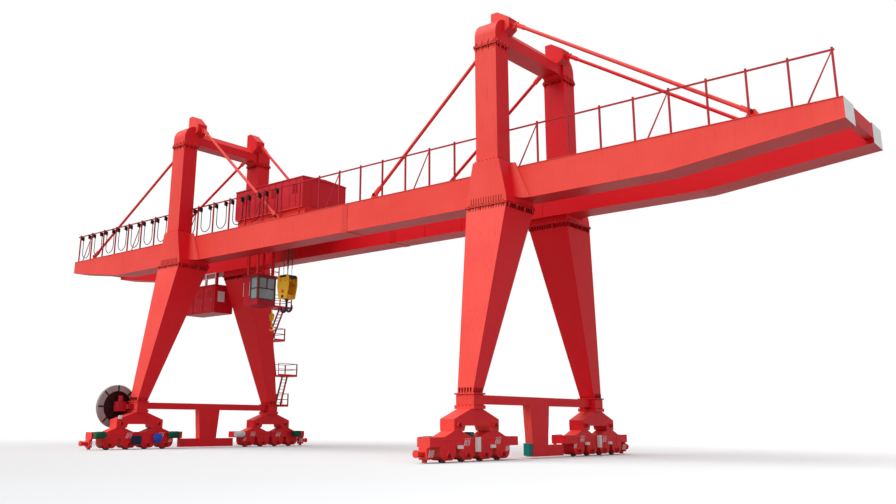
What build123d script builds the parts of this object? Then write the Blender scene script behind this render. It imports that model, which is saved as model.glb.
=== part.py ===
from build123d import *
import math
import os

# Double girder gantry crane with overhangs at both ends.
# Sizes are the real crane's, in mm, and the model is made at model_scale.
# X runs along the girders, Y along the crane's own rails and Z is up.
# The origin lies under the middle of the girders at rail level.
model_scale = 0.5

# Girders
span = 30000
left_overhang = 16700
right_overhang = 18400
girder_top = 15770
girder_depth = 1900
girder_width = 1600
girder_centre_y = 2320
girder_end_depth = 1010
left_taper = 7400
right_taper = 8500
flange_lip = 30
flange_thickness = 30
stiffener_pitch = 3100
stiffener_depth = 22
stiffener_width = 60
end_tie_drop = 100
end_tie_width = 400
end_tie_depth = 700

# Trolley rails
rail_width = 120
rail_height = 130
rail_gauge = 3300
rail_stop_length = 300
rail_stop_height = 420
rail_end_margin = 200
rail_foot_width = 220
rail_foot_height = 30
rail_neck_width = 40
rail_head_height = 45

# Legs and the saddles that carry the girders
leg_top_half_x = 1350
leg_top_outer_y = 4430
leg_top_inner_y = 1760
leg_foot_half_x = 490
leg_foot_outer_y = 6450
leg_foot_inner_y = 5630
leg_foot_height = 3340
head_plate_thickness = 60
head_plate_lip = 60
saddle_gap = 300
saddle_top_half_x = 880
saddle_fillet = 700
saddle_top_fillet = 250
saddle_rise = 250
saddle_edge = 30
gusset_thickness = 24
gusset_height = 320
gusset_reach = 120
gusset_root = 170
gusset_shares = [-0.85, -0.3, 0.3, 0.85]

# Portals
post_half_x = 740
post_outer_y = 4300
post_inner_y = 3080
post_flange_thickness = 60
post_flange_lip = 70
collar_height = 23050
portal_top = 24700
portal_radius = 1000
portal_haunch = 350
beam_bottom = 23300
beam_shoulder = 23950
beam_ridge = 24420
beam_half_x = 600
beam_ridge_half_x = 230
anchor_half_y = 420
anchor_rise = 300
anchor_depth = 620
anchor_reach = 1050
anchor_y = 2950

# Stays
stay_diameter = 210
outer_stay_reach = 14250
inner_stay_reach = 10200
stay_foot_y = 2600
stay_foot_height = 330
high_head_height = 24380
low_head_height = 23600
stay_lug_thickness = 80
stay_lug_size = 420
stay_fork_length = 620
stay_fork_width = 260
stay_pin_diameter = 150
stay_head_gap = 260

# Feet
foot_centre_y = 6050
collar_half_x = 630
collar_half_y = 480
collar_lip = 60
collar_bottom = 2650
collar_plate = 60
tie_top = 3250
tie_depth = 450
tie_half_x = 250
tie_gusset_thickness = 80
column_top_half_y = 950
column_foot_half_y = 700
column_half_x = 250
column_foot = 100
sill_depth = 600
sill_half_x = 200

# Equalisers, trucks and wheels
equaliser_top = 2550
equaliser_shoulder = 2050
equaliser_bottom = 1480
equaliser_half_x = 450
equaliser_half_y = 1850
equaliser_top_half_y = 500
equaliser_arch_rise = 250
equaliser_arch_half_y = 1050
equaliser_arch_top_half_y = 960
wheel_pitch = 1500
wheel_diameter = 630
wheel_width = 130
wheel_flange = 30
wheel_flange_width = 32
wheel_web_width = 60
wheel_rim = 70
wheel_hub_diameter = 230
axle_diameter = 120
truck_top = 1200
truck_half_x = 400
truck_reach = 3630
truck_gap = 60
truck_skirt_bottom = 110
truck_skirt_half_y = 600
truck_beam_bottom = 740
wheel_slot_half_x = 120
wheel_room = 60
skirt_radius = 420
gable_half_y = 1050
gable_top_half_y = 330
pin_diameter = 260
pin_proud = 90
hub_cover_diameter = 360
hub_cover_proud = 60
sweeper_length = 160
sweeper_bottom = 40
sweeper_half_x = 100
bracket_bottom = 170
bracket_half_x = 280

# Trolley, machinery house and cab
trolley_centre_x = -7280
trolley_length = 7450
trolley_wheel_diameter = 500
trolley_wheel_width = 210
trolley_wheel_reach = 2900
running_gap = 0.6
carriage_half_y = 200
carriage_bottom = 16080
carriage_nose = 120
carriage_cross_width = 300
trolley_slot_half_y = 125
trolley_slot_height = 400
deck_bottom = 16600
deck_thickness = 90
house_half_y = 2100
house_top = 18800
house_wall = 70
roof_lip = 60
roof_rise = 180
house_rib_pitch = 745
house_rib_depth = 30
house_rib_width = 60
well_half_x = 500
well_half_y = 420
aux_well_half_x = 200
aux_well_half_y = 160
hanger_size = 140
cab_offset = -2545
cab_length = 1650
cab_near_y = 1250
cab_far_y = 450
cab_top = 12450
cab_bottom = 10250
cab_wall = 90
cab_sill = 450
cab_lintel = 150
cab_transom = 1240
cab_roof_lip = 90
cab_roof_height = 70
cab_panel_length = 850
cab_post = 60
cab_end_margin = 120
glass_thickness = 24
hanger_inset = 300

# Hoists
block_offset = 80
block_top = 12350
block_shoulder = 11500
block_bottom = 10600
block_half_x = 620
block_half_y = 430
hook_height = 9600
hook_bar = 170
hook_radius = 290
hook_tip_taper = 15
hook_nut_diameter = 270
hook_nut_height = 120
rope_diameter = 32
rope_spacing = 33
rope_half_x = 300
rope_half_y = 180
rope_top = 18400
hoist_rise = 800
rope_overlap = 100
block_plate = 60
block_corner_radius = 280
block_foot_half_x = 420
sheave_radius = 270
sheave_width = 70
sheave_groove = 40
sheave_axle = 130
yoke_half_x = 330
yoke_height = 300
aux_offset = -2570
aux_y = 900
aux_top = 9850
aux_bottom = 8500
aux_radius = 190
aux_hook_radius = 170
aux_hook_bar = 90
aux_hook_turn = 235

# Cable reel beside the near foot of the left frame
reel_y = 7200
reel_height = 2950
reel_radius = 1500
reel_pack_inner_radius = 1080
reel_width = 300
reel_gap = 180
reel_hub_radius = 260
reel_shaft_diameter = 160
reel_spoke_width = 110
reel_spoke_count = 8
reel_rim = 60
reel_gear_gap = 60
reel_gear_length = 540
reel_gear_half = 330
reel_arm_half = 180
reel_motor_diameter = 320
reel_motor_length = 420
reel_flange_thickness = 16
shaft_clearance = 0.1

# Electrical cabin under the far girder
cabin_near_x = 1900
cabin_length = 4000
cabin_near_y = 1400
cabin_width = 1850
cabin_top = 12900
cabin_bottom = 10600
cabin_hanger = 160
cabin_roof_lip = 60
cabin_hanger_inset = 400
cabin_door_count = 3
cabin_door_width = 900
cabin_door_proud = 30
cabin_door_top_gap = 180
cabin_railing_bays = 3
roof_railing_height = 950
roof_railing_bar = 50

# Stairs beside the far leg of the left frame
stair_width = 700
landing_half_width = 790
landing_heights = [3150, 5600, 8450, 11200, 13600]
landing_reach = [7450, 8300, 6800, 7400, 5900]
stair_plate = 60
stair_inset = 250
stair_gap = 60
landing_edge = 60
stringer_depth = 160
stringer_thickness = 40
step_rise = 290
step_depth = 200
step_thickness = 30
handrail_height = 1000
handrail_bar = 45

# Festoon posts on the near girder
festoon_pitch = 1950
festoon_end_margin = 500
festoon_post = 90
festoon_height = 2300
festoon_y = 3020
festoon_rail = 80
festoon_rail_margin = 150
festoon_brace_every = 4
festoon_brace_reach = 1300
festoon_bays = 14
festoon_cable_diameter = 60
festoon_cable_y = 2870
festoon_loop_start = 250
festoon_loop_width = 1150
festoon_loop_depth = 1650
festoon_carrier_drop = 300
festoon_carrier_half = 70
festoon_carrier_edge = 40

# Drives and buffers
drive_diameter = 480
drive_length = 700
drive_cover = 180
drive_cover_diameter = 410
drive_height = 1000
drive_places = [-8780, -2870, 3100, 9000]
drive_standoff = 80
drive_gear_depth = 330
drive_gear_half = 220
drive_gear_drop = 260
buffer_diameter = 300
buffer_length = 500
buffer_height = 450
buffer_plate_half = 260
buffer_plate_thickness = 60
buffer_head = 90
buffer_head_lip = 30


def box(x0, x1, y0, y1, z0, z1):
    """A box between two corners."""
    lower = (min(x0, x1), min(y0, y1), min(z0, z1))
    size = (abs(x1 - x0), abs(y1 - y0), abs(z1 - z0))
    return Pos(*lower) * Box(*size, align=(Align.MIN, Align.MIN, Align.MIN))


def prism_along_x(points, x0, x1):
    """A solid whose outline is drawn in Y and Z and runs along X."""
    face = make_face(Polyline([(x0, y, z) for y, z in points], close=True))
    return extrude(face, amount=x1 - x0, dir=(1, 0, 0))


def prism_along_y(points, y0, y1):
    """A solid whose outline is drawn in X and Z and runs along Y."""
    face = make_face(Polyline([(x, y0, z) for x, z in points], close=True))
    return extrude(face, amount=y1 - y0, dir=(0, 1, 0))


def rod(start, end, diameter):
    """A round bar between two points."""
    axis = Vector(*end) - Vector(*start)
    plane = Plane(origin=start, z_dir=axis)
    return extrude(plane * Circle(diameter / 2), amount=axis.length)


def tapered_box(low, high):
    """A four sided solid between two level rectangles (x0, x1, y0, y1, z)."""
    faces = []
    for x0, x1, y0, y1, z in (low, high):
        corners = [(x0, y0, z), (x1, y0, z), (x1, y1, z), (x0, y1, z)]
        faces.append(make_face(Polyline(corners, close=True)))
    return loft(faces, ruled=True)


def disc_along_x(x0, x1, y, z, diameter):
    """A round disc whose axis runs along X."""
    return rod((x0, y, z), (x1, y, z), diameter)


def gussets(x, y, half_x, half_y, z, rise):
    """Stiffener plates around a box column, above or below the flange at height z."""
    root = gusset_root if rise < 0 else gusset_thickness
    half = gusset_thickness / 2
    plates = []
    for way in (-1, 1):
        face = way * half_y
        outline = [(y + face - way * root, z), (y + face + way * gusset_reach, z), (y + face, z + rise),
                   (y + face - way * root, z + rise)]
        for share in gusset_shares:
            plates.append(prism_along_x(outline, x + share * half_x - half, x + share * half_x + half))
        face = way * half_x
        outline = [(x + face - way * root, z), (x + face + way * gusset_reach, z), (x + face, z + rise),
                   (x + face - way * root, z + rise)]
        for share in gusset_shares:
            plates.append(prism_along_y(outline, y + share * half_y - half, y + share * half_y + half))
    return plates


girder_length = left_overhang + span + right_overhang
left_end = -girder_length / 2
right_end = girder_length / 2
frame_x = {"left": left_end + left_overhang, "right": right_end - right_overhang}
sides = (-1, 1)
girder_bottom = girder_top - girder_depth
girder_outer_y = girder_centre_y + girder_width / 2
girder_inner_y = girder_centre_y - girder_width / 2
leg_head = girder_bottom - saddle_gap - head_plate_thickness
saddle_top = girder_top + saddle_rise
post_centre_y = (post_inner_y + post_outer_y) / 2
post_half_y = (post_outer_y - post_inner_y) / 2
trolley_wheel_z = girder_top + rail_height + trolley_wheel_diameter / 2 - wheel_flange + running_gap
reel_outer_x = frame_x["left"] - collar_half_x - reel_gap - reel_width


def girder_depth_at(x):
    """The girder's depth, drawn up over the taper at each end."""
    left_share = min(1, (x - left_end) / left_taper)
    right_share = min(1, (right_end - x) / right_taper)
    return girder_end_depth + min(left_share, right_share) * (girder_depth - girder_end_depth)


def make_girder(side):
    """One box girder with flange plates and web stiffeners, drawn up at both ends."""
    half = girder_width / 2 - flange_lip
    middle = side * girder_centre_y
    corners = [left_end, left_end + left_taper, right_end - right_taper, right_end]
    below = [(x, girder_top - girder_depth_at(x)) for x in corners]
    web = prism_along_y([(left_end, girder_top)] + below + [(right_end, girder_top)], middle - half, middle + half)
    top = box(left_end, right_end, middle - girder_width / 2, middle + girder_width / 2,
              girder_top - flange_thickness, girder_top)
    upper = [(x, z + flange_thickness) for x, z in reversed(below)]
    bottom = prism_along_y(below + upper, middle - girder_width / 2, middle + girder_width / 2)
    count = int(span / stiffener_pitch)
    stiffeners = []
    for index in range(count + 1):
        x = (index - count / 2) * stiffener_pitch
        inner = middle - side * half
        stiffeners.append(box(x - stiffener_width / 2, x + stiffener_width / 2, inner - side * stiffener_depth,
                              inner + side * stiffener_depth, girder_top - girder_depth_at(x), girder_top))
    return web.fuse(top, bottom, *stiffeners)


def make_end_tie(end, inward):
    """The cross beam that joins the two girders at one end."""
    z1 = girder_top - end_tie_drop
    reach = girder_inner_y + flange_lip
    return box(end, end + inward * end_tie_width, -reach, reach, z1 - end_tie_depth, z1)


def make_trolley_rails():
    """The two rails on the girders, with a stop at each end."""
    z0 = girder_top
    head = z0 + rail_height - rail_head_height
    foot = z0 + rail_foot_height
    rails = []
    for side in sides:
        y = side * rail_gauge / 2
        outline = [(y - rail_foot_width / 2, z0), (y + rail_foot_width / 2, z0), (y + rail_foot_width / 2, foot),
                   (y + rail_neck_width / 2, foot), (y + rail_neck_width / 2, head), (y + rail_width / 2, head),
                   (y + rail_width / 2, z0 + rail_height), (y - rail_width / 2, z0 + rail_height),
                   (y - rail_width / 2, head), (y - rail_neck_width / 2, head), (y - rail_neck_width / 2, foot),
                   (y - rail_foot_width / 2, foot)]
        rail = prism_along_x(outline, left_end + rail_end_margin, right_end - rail_end_margin)
        for end, inward in ((left_end + rail_end_margin, 1), (right_end - rail_end_margin, -1)):
            block = prism_along_y([(end, z0), (end + inward * rail_stop_length, z0),
                                   (end + inward * rail_stop_length, z0 + rail_stop_height),
                                   (end + inward * rail_stop_length / 2, z0 + rail_stop_height)],
                                  y - rail_width, y + rail_width)
            rail = rail.fuse(block)
        rails.append(rail)
    return rails


def make_leg(x, side):
    """One tapered leg, wide under the girder and slender at the foot, with its bolted head plate."""
    top = leg_head - head_plate_thickness
    low = (x - leg_foot_half_x, x + leg_foot_half_x, side * leg_foot_inner_y, side * leg_foot_outer_y,
           leg_foot_height)
    high = (x - leg_top_half_x, x + leg_top_half_x, side * leg_top_inner_y, side * leg_top_outer_y, top)
    leg = tapered_box(low, high)
    plate = box(x - leg_top_half_x - head_plate_lip, x + leg_top_half_x + head_plate_lip,
                side * (leg_top_inner_y - head_plate_lip), side * (leg_top_outer_y + head_plate_lip),
                top, leg_head)
    centre = side * (leg_top_inner_y + leg_top_outer_y) / 2
    half_y = (leg_top_outer_y - leg_top_inner_y) / 2
    return leg.fuse(plate, *gussets(x, centre, leg_top_half_x, half_y, top, -gusset_height))


def flared_outline(x, side, half_x, fillet, z):
    """The saddle's cheek in plan: it flares out to the girder's web in two hollow curves."""
    outer = side * leg_top_outer_y
    web = side * girder_outer_y
    edge = web + side * saddle_edge
    start = [(x + way * half_x, edge + side * fillet, z) for way in sides]
    end = [(x + way * (half_x + fillet), edge, z) for way in sides]
    hollow = fillet * (1 - math.sqrt(0.5))
    middle = [(x + way * (half_x + hollow), edge + side * hollow, z) for way in sides]
    wire = Polyline((x - half_x, outer, z), (x + half_x, outer, z), start[1])
    wire += ThreePointArc(start[1], middle[1], end[1])
    wire += Polyline(end[1], (end[1][0], web, z), (end[0][0], web, z), end[0])
    wire += ThreePointArc(end[0], middle[0], start[0])
    wire += Line(start[0], (x - half_x, outer, z))
    return make_face(wire)


def make_saddle(x, side):
    """The block between the leg's head and the post, beside and under the girder."""
    base = leg_head + head_plate_thickness
    outer = side * leg_top_outer_y
    plate = box(x - leg_top_half_x - head_plate_lip, x + leg_top_half_x + head_plate_lip,
                side * (leg_top_inner_y - head_plate_lip), side * (leg_top_outer_y + head_plate_lip),
                leg_head, base)
    seat = box(x - leg_top_half_x, x + leg_top_half_x, side * leg_top_inner_y, outer, base, girder_bottom)
    cheek = loft([flared_outline(x, side, leg_top_half_x, saddle_fillet, girder_bottom),
                  flared_outline(x, side, saddle_top_half_x, saddle_top_fillet, saddle_top)], ruled=True)
    return plate.fuse(seat, cheek)


def make_post(x, side):
    """One upright of the portal above the girder, with its bolted flanges."""
    pieces = [box(x - post_half_x, x + post_half_x, side * post_inner_y, side * post_outer_y,
                  saddle_top, collar_height)]
    for z in (saddle_top, collar_height - post_flange_thickness):
        inner = girder_outer_y if z == saddle_top else post_inner_y - post_flange_lip
        pieces.append(box(x - post_half_x - post_flange_lip, x + post_half_x + post_flange_lip,
                          side * inner, side * (post_outer_y + post_flange_lip), z, z + post_flange_thickness))
    middle = side * post_centre_y
    pieces += gussets(x, middle, post_half_x, post_half_y, collar_height - post_flange_thickness, -gusset_height)
    return pieces[0].fuse(*pieces[1:])


def stay_ends(x, side, outward):
    """Foot and head of the stay that runs to one side of a portal, outward or inward."""
    reach = outer_stay_reach if outward * x > 0 else inner_stay_reach
    foot = (x + outward * reach, side * stay_foot_y, girder_top + stay_foot_height)
    if outward > 0:
        head = (x + anchor_reach + stay_head_gap, side * anchor_y, high_head_height)
    else:
        head = (x - beam_half_x - stay_head_gap, side * anchor_y, low_head_height)
    return foot, head


def make_top_beam(x):
    """The cross beam over the girders, with round outer corners and the stays' anchor boxes."""
    ring = collar_height + post_flange_thickness
    pieces = [prism_along_y([(x - beam_half_x, beam_bottom), (x + beam_half_x, beam_bottom),
                             (x + beam_half_x, beam_shoulder), (x + beam_ridge_half_x, beam_ridge),
                             (x - beam_ridge_half_x, beam_ridge), (x - beam_half_x, beam_shoulder)],
                            -post_centre_y, post_centre_y)]
    for side in sides:
        outer = side * post_outer_y
        inner = side * post_inner_y
        bend = portal_radius * (1 - math.sqrt(0.5))
        x0 = x - post_half_x
        wire = Polyline((x0, inner, collar_height), (x0, outer, collar_height),
                        (x0, outer, portal_top - portal_radius))
        wire += ThreePointArc((x0, outer, portal_top - portal_radius), (x0, outer - side * bend, portal_top - bend),
                              (x0, outer - side * portal_radius, portal_top))
        wire += Polyline((x0, outer - side * portal_radius, portal_top), (x0, inner, portal_top),
                         (x0, inner, collar_height))
        pieces.append(extrude(make_face(wire), amount=2 * post_half_x, dir=(1, 0, 0)))
        pieces.append(prism_along_x([(inner, collar_height), (inner, beam_bottom + portal_haunch),
                                     (inner - side * portal_haunch, beam_bottom + portal_haunch),
                                     (inner - side * portal_haunch, beam_bottom)],
                                    x - beam_half_x, x + beam_half_x))
        middle = side * post_centre_y
        pieces.append(box(x - post_half_x - post_flange_lip, x + post_half_x + post_flange_lip,
                          side * (post_inner_y - post_flange_lip), side * (post_outer_y + post_flange_lip),
                          collar_height, ring))
        pieces += gussets(x, middle, post_half_x, post_half_y, ring, gusset_height)
        foot, head = stay_ends(x, side, 1)
        slope = (foot[2] - head[2]) / (foot[0] - head[0])
        tip = x + anchor_reach
        upper = high_head_height - slope * stay_head_gap + anchor_rise
        lower = upper - anchor_depth
        crown = upper - slope * (anchor_reach - beam_ridge_half_x)
        outline = [(x - beam_ridge_half_x, beam_ridge - anchor_depth), (x - beam_ridge_half_x, crown),
                   (x + beam_ridge_half_x, crown), (tip, upper), (tip, lower),
                   (x + beam_half_x, lower - anchor_depth / 2)]
        pieces.append(prism_along_y(outline, side * anchor_y - anchor_half_y, side * anchor_y + anchor_half_y))
    return pieces[0].fuse(*pieces[1:])


def make_stay(x, side, way):
    """One round stay with flat forks at its ends, pinned to a lug on the girder and one on the portal."""
    foot, head = stay_ends(x, side, way)
    axis = (Vector(*head) - Vector(*foot)).normalized()
    pieces = [rod(foot, head, stay_diameter)]
    for spot, inward in ((foot, 1), (head, -1)):
        middle = Vector(*spot) + axis * (inward * stay_fork_length / 2)
        plane = Plane(origin=middle, x_dir=axis, z_dir=axis.cross(Vector(0, 1, 0)))
        pieces.append(plane * Box(stay_fork_length, 2 * stay_lug_thickness, stay_fork_width))
        pieces.append(rod((spot[0], spot[1] - stay_fork_width / 2, spot[2]),
                          (spot[0], spot[1] + stay_fork_width / 2, spot[2]), stay_pin_diameter))
    half = stay_lug_thickness / 2
    rise = stay_foot_height + stay_fork_width / 2
    pieces.append(prism_along_y([(foot[0] - stay_lug_size, girder_top), (foot[0] + stay_lug_size, girder_top),
                                 (foot[0] + stay_pin_diameter, girder_top + rise),
                                 (foot[0] - stay_pin_diameter, girder_top + rise)], foot[1] - half, foot[1] + half))
    face = x + anchor_reach if way > 0 else x - beam_half_x
    tip = head[0] + way * stay_pin_diameter
    pieces.append(prism_along_y([(face, head[2] - stay_lug_size / 2), (face, head[2] + stay_lug_size / 2),
                                 (tip, head[2] + stay_pin_diameter), (tip, head[2] - stay_pin_diameter)],
                                head[1] - half, head[1] + half))
    return pieces[0].fuse(*pieces[1:])


def make_foot_tie(x):
    """The tie between the two feet of a frame, with the flanged collars under the legs."""
    tie = box(x - tie_half_x, x + tie_half_x, -foot_centre_y, foot_centre_y, tie_top - tie_depth, tie_top)
    pieces = []
    half_x = collar_half_x - collar_lip
    half_y = collar_half_y - collar_lip
    for side in sides:
        y = side * foot_centre_y
        pieces.append(box(x - half_x, x + half_x, y - half_y, y + half_y, collar_bottom, leg_foot_height))
        for z in (collar_bottom, leg_foot_height - collar_plate):
            pieces.append(box(x - collar_half_x, x + collar_half_x, y - collar_half_y, y + collar_half_y,
                              z, z + collar_plate))
        low = y - side * half_y
        pieces.append(prism_along_x([(low, tie_top - tie_depth), (low - side * tie_depth, tie_top - tie_depth),
                                     (low, collar_bottom + collar_plate)],
                                    x - tie_gusset_thickness / 2, x + tie_gusset_thickness / 2))
    return tie.fuse(*pieces)


def make_column(x, sill_sides):
    """The tapered column under the tie, with the sills at its foot."""
    column = prism_along_x([(-column_top_half_y, tie_top - tie_depth), (column_top_half_y, tie_top - tie_depth),
                            (column_foot_half_y, column_foot), (-column_foot_half_y, column_foot)],
                           x - column_half_x, x + column_half_x)
    reach = foot_centre_y - truck_reach
    sills = [box(x - sill_half_x, x + sill_half_x, 0, side * reach, column_foot, column_foot + sill_depth)
             for side in sill_sides]
    return column.fuse(*sills)


def make_equaliser(x, side):
    """The main equaliser under one leg, hollowed below between its two pins."""
    y = side * foot_centre_y
    half = equaliser_half_y
    arch = equaliser_arch_half_y
    arch_top = equaliser_arch_top_half_y
    ceiling = equaliser_bottom + equaliser_arch_rise
    outline = [(y - arch, equaliser_bottom), (y - half, equaliser_bottom), (y - half, equaliser_shoulder),
               (y - equaliser_top_half_y, equaliser_top), (y + equaliser_top_half_y, equaliser_top),
               (y + half, equaliser_shoulder), (y + half, equaliser_bottom), (y + arch, equaliser_bottom),
               (y + arch_top, ceiling), (y - arch_top, ceiling)]
    body = prism_along_x(outline, x - equaliser_half_x, x + equaliser_half_x)
    pieces = [box(x - collar_half_x, x + collar_half_x, y - collar_half_y, y + collar_half_y,
                  equaliser_top, collar_bottom)]
    pin_z = (equaliser_bottom + equaliser_shoulder) / 2
    for way in sides:
        pieces.append(disc_along_x(x - equaliser_half_x - pin_proud, x + equaliser_half_x + pin_proud,
                                   y + way * wheel_pitch, pin_z, pin_diameter))
    return body.fuse(*pieces)


def wheel_skirt(x, y):
    """The rounded box over one wheel."""
    x0 = x - truck_half_x
    half = truck_skirt_half_y
    low = truck_skirt_bottom
    bend = skirt_radius * (1 - math.sqrt(0.5))
    wire = Polyline((x0, y - half, low + skirt_radius), (x0, y - half, truck_beam_bottom),
                    (x0, y + half, truck_beam_bottom), (x0, y + half, low + skirt_radius))
    wire += ThreePointArc((x0, y + half, low + skirt_radius), (x0, y + half - bend, low + bend),
                          (x0, y + half - skirt_radius, low))
    wire += Line((x0, y + half - skirt_radius, low), (x0, y - half + skirt_radius, low))
    wire += ThreePointArc((x0, y - half + skirt_radius, low), (x0, y - half + bend, low + bend),
                          (x0, y - half, low + skirt_radius))
    return extrude(make_face(wire), amount=2 * truck_half_x, dir=(1, 0, 0))


def make_trucks(x, side):
    """The two wheel trucks under one foot: a beam, a gable up to the equaliser and a box over each wheel."""
    trucks = []
    for way in sides:
        centre = side * foot_centre_y + way * wheel_pitch
        inner = side * foot_centre_y + way * truck_gap
        outer = side * foot_centre_y + way * truck_reach
        pieces = [prism_along_x([(centre - gable_half_y, truck_top), (centre + gable_half_y, truck_top),
                                 (centre + gable_top_half_y, equaliser_bottom),
                                 (centre - gable_top_half_y, equaliser_bottom)],
                                x - truck_half_x, x + truck_half_x)]
        wheel_ys = [centre + step * wheel_pitch / 2 for step in sides]
        for wheel_y in wheel_ys:
            pieces.append(wheel_skirt(x, wheel_y))
            for face in sides:
                pieces.append(disc_along_x(x + face * wheel_slot_half_x, x + face * (truck_half_x + hub_cover_proud),
                                           wheel_y, wheel_diameter / 2, hub_cover_diameter))
        if way == side:
            pieces.append(box(x - bracket_half_x, x + bracket_half_x, outer - side * sweeper_length, outer,
                              bracket_bottom, truck_beam_bottom))
            pieces.append(box(x - sweeper_half_x, x + sweeper_half_x, outer - side * sweeper_length, outer,
                              sweeper_bottom, bracket_bottom))
        beam = box(x - truck_half_x, x + truck_half_x, inner, outer, truck_beam_bottom, truck_top)
        room = wheel_diameter / 2 + wheel_room
        slots = [box(x - wheel_slot_half_x, x + wheel_slot_half_x, wheel_y - room, wheel_y + room,
                     0, wheel_diameter + wheel_room) for wheel_y in wheel_ys]
        trucks.append(beam.fuse(*pieces).cut(*slots))
    return trucks


def wheel_profile(radius, width):
    """Half section of a wheel with two flanges, a thin web and a hub."""
    half = width / 2
    flat = half - wheel_flange_width
    tread = radius - wheel_flange
    rim = tread - wheel_rim
    web = wheel_web_width / 2
    hub = wheel_hub_diameter / 2
    side_points = [(0, half), (hub, half), (hub, web), (rim, web), (rim, half), (radius, half), (radius, flat),
                   (tread, flat)]
    lower = [(r, -z) for r, z in reversed(side_points)]
    return [(r, 0, z) for r, z in side_points + lower]


def turned_wheel(radius, width, axle):
    """A flanged wheel turned about Z, with its axle."""
    wheel = revolve(make_face(Polyline(wheel_profile(radius, width), close=True)), axis=Axis.Z)
    return wheel.fuse(Cylinder(axle_diameter / 2, axle))


def make_wheels(x):
    """The wheels of one frame with their axles."""
    wheel = Rot(0, 90, 0) * turned_wheel(wheel_diameter / 2, wheel_width, 2 * wheel_slot_half_x)
    wheels = []
    for side in sides:
        for way in sides:
            for step in sides:
                y = side * foot_centre_y + way * wheel_pitch + step * wheel_pitch / 2
                wheels.append(Pos(x, y, wheel_diameter / 2) * wheel)
    return wheels


def hoist_wells():
    """Centre and half size of the two openings in the deck that the ropes pass."""
    main = (trolley_centre_x + block_offset, 0, well_half_x, well_half_y)
    aux = (trolley_centre_x + aux_offset, aux_y, aux_well_half_x, aux_well_half_y)
    return [main, aux]


def make_trolley_frame():
    """The trolley's two end carriages over the rails, the cross beams and the deck."""
    x0 = trolley_centre_x - trolley_length / 2
    x1 = trolley_centre_x + trolley_length / 2
    deck = box(x0, x1, -house_half_y, house_half_y, deck_bottom, deck_bottom + deck_thickness)
    pieces = []
    cuts = []
    room = trolley_wheel_diameter / 2 + wheel_room
    for side in sides:
        y = side * rail_gauge / 2
        pieces.append(prism_along_y([(x0, carriage_bottom + carriage_nose), (x0 + carriage_nose, carriage_bottom),
                                     (x1 - carriage_nose, carriage_bottom), (x1, carriage_bottom + carriage_nose),
                                     (x1, deck_bottom), (x0, deck_bottom)], y - carriage_half_y, y + carriage_half_y))
        for way in sides:
            wheel_x = trolley_centre_x + way * trolley_wheel_reach
            cuts.append(box(wheel_x - room, wheel_x + room, y - trolley_slot_half_y, y + trolley_slot_half_y,
                            carriage_bottom, carriage_bottom + trolley_slot_height))
            for face in sides:
                pieces.append(rod((wheel_x, y + face * trolley_slot_half_y, trolley_wheel_z),
                                  (wheel_x, y + face * (carriage_half_y + hub_cover_proud), trolley_wheel_z),
                                  hub_cover_diameter))
    for x in (x0, x1 - carriage_cross_width):
        pieces.append(box(x, x + carriage_cross_width, -rail_gauge / 2, rail_gauge / 2,
                          carriage_bottom + carriage_nose, deck_bottom))
    for x, y, half_x, half_y in hoist_wells():
        cuts.append(box(x - half_x, x + half_x, y - half_y, y + half_y, deck_bottom, deck_bottom + deck_thickness))
    return deck.fuse(*pieces).cut(*cuts)


def make_trolley_wheels():
    """The four wheels that carry the trolley, with their axles."""
    wheel = Rot(90, 0, 0) * turned_wheel(trolley_wheel_diameter / 2, trolley_wheel_width, 2 * trolley_slot_half_y)
    return [Pos(trolley_centre_x + way * trolley_wheel_reach, side * rail_gauge / 2, trolley_wheel_z) * wheel
            for way in sides for side in sides]


def make_house():
    """The machinery house: a ribbed shell under a shallow ridged roof, standing on the trolley's deck."""
    x0 = trolley_centre_x - trolley_length / 2
    x1 = trolley_centre_x + trolley_length / 2
    floor = deck_bottom + deck_thickness
    shell = box(x0, x1, -house_half_y, house_half_y, floor, house_top)
    edge = house_half_y + roof_lip
    pieces = [prism_along_x([(-edge, house_top), (edge, house_top), (edge, house_top + roof_lip),
                             (0, house_top + roof_rise), (-edge, house_top + roof_lip)], x0 - roof_lip, x1 + roof_lip)]
    count = int(trolley_length / house_rib_pitch)
    for index in range(1, count):
        x = x0 + index * trolley_length / count
        pieces.append(box(x - house_rib_width / 2, x + house_rib_width / 2, -house_half_y - house_rib_depth,
                          house_half_y + house_rib_depth, floor, house_top))
    room = box(x0 + house_wall, x1 - house_wall, -house_half_y + house_wall, house_half_y - house_wall,
               floor, house_top - house_wall)
    return shell.fuse(*pieces).cut(room)


def make_cab_hanger():
    """The four hangers that hold the cab under the trolley."""
    x = trolley_centre_x + cab_offset
    half = hanger_size / 2
    bars = []
    for way in sides:
        bar_x = x + way * (cab_length / 2 - hanger_inset)
        for y in (-cab_near_y + hanger_inset / 2, cab_far_y - hanger_inset / 2):
            bars.append(box(bar_x - half, bar_x + half, y - half, y + half, cab_top + cab_roof_height, deck_bottom))
    return bars


def cab_window_openings():
    """The window openings: near side, far side and the end that looks along the girders."""
    x0 = trolley_centre_x + cab_offset - cab_length / 2
    x1 = x0 + cab_length
    z0 = cab_bottom + cab_sill
    z1 = cab_top - cab_lintel
    near = x0 + cab_panel_length
    far = x1 - cab_end_margin
    half = cab_post / 2
    transom = cab_bottom + cab_transom
    y0 = -cab_near_y + cab_end_margin
    y1 = cab_far_y - cab_end_margin
    middle = (y0 + y1) / 2
    openings = [(near, far, -cab_near_y, -cab_near_y + cab_wall, z0, z1),
                (near, far, cab_far_y - cab_wall, cab_far_y, z0, z1),
                (x1 - cab_wall, x1, y0, y1, z0, transom - half)]
    for a, b in ((y0, middle - half), (middle + half, y1)):
        openings.append((x1 - cab_wall, x1, a, b, transom + half, z1))
    return openings


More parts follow.
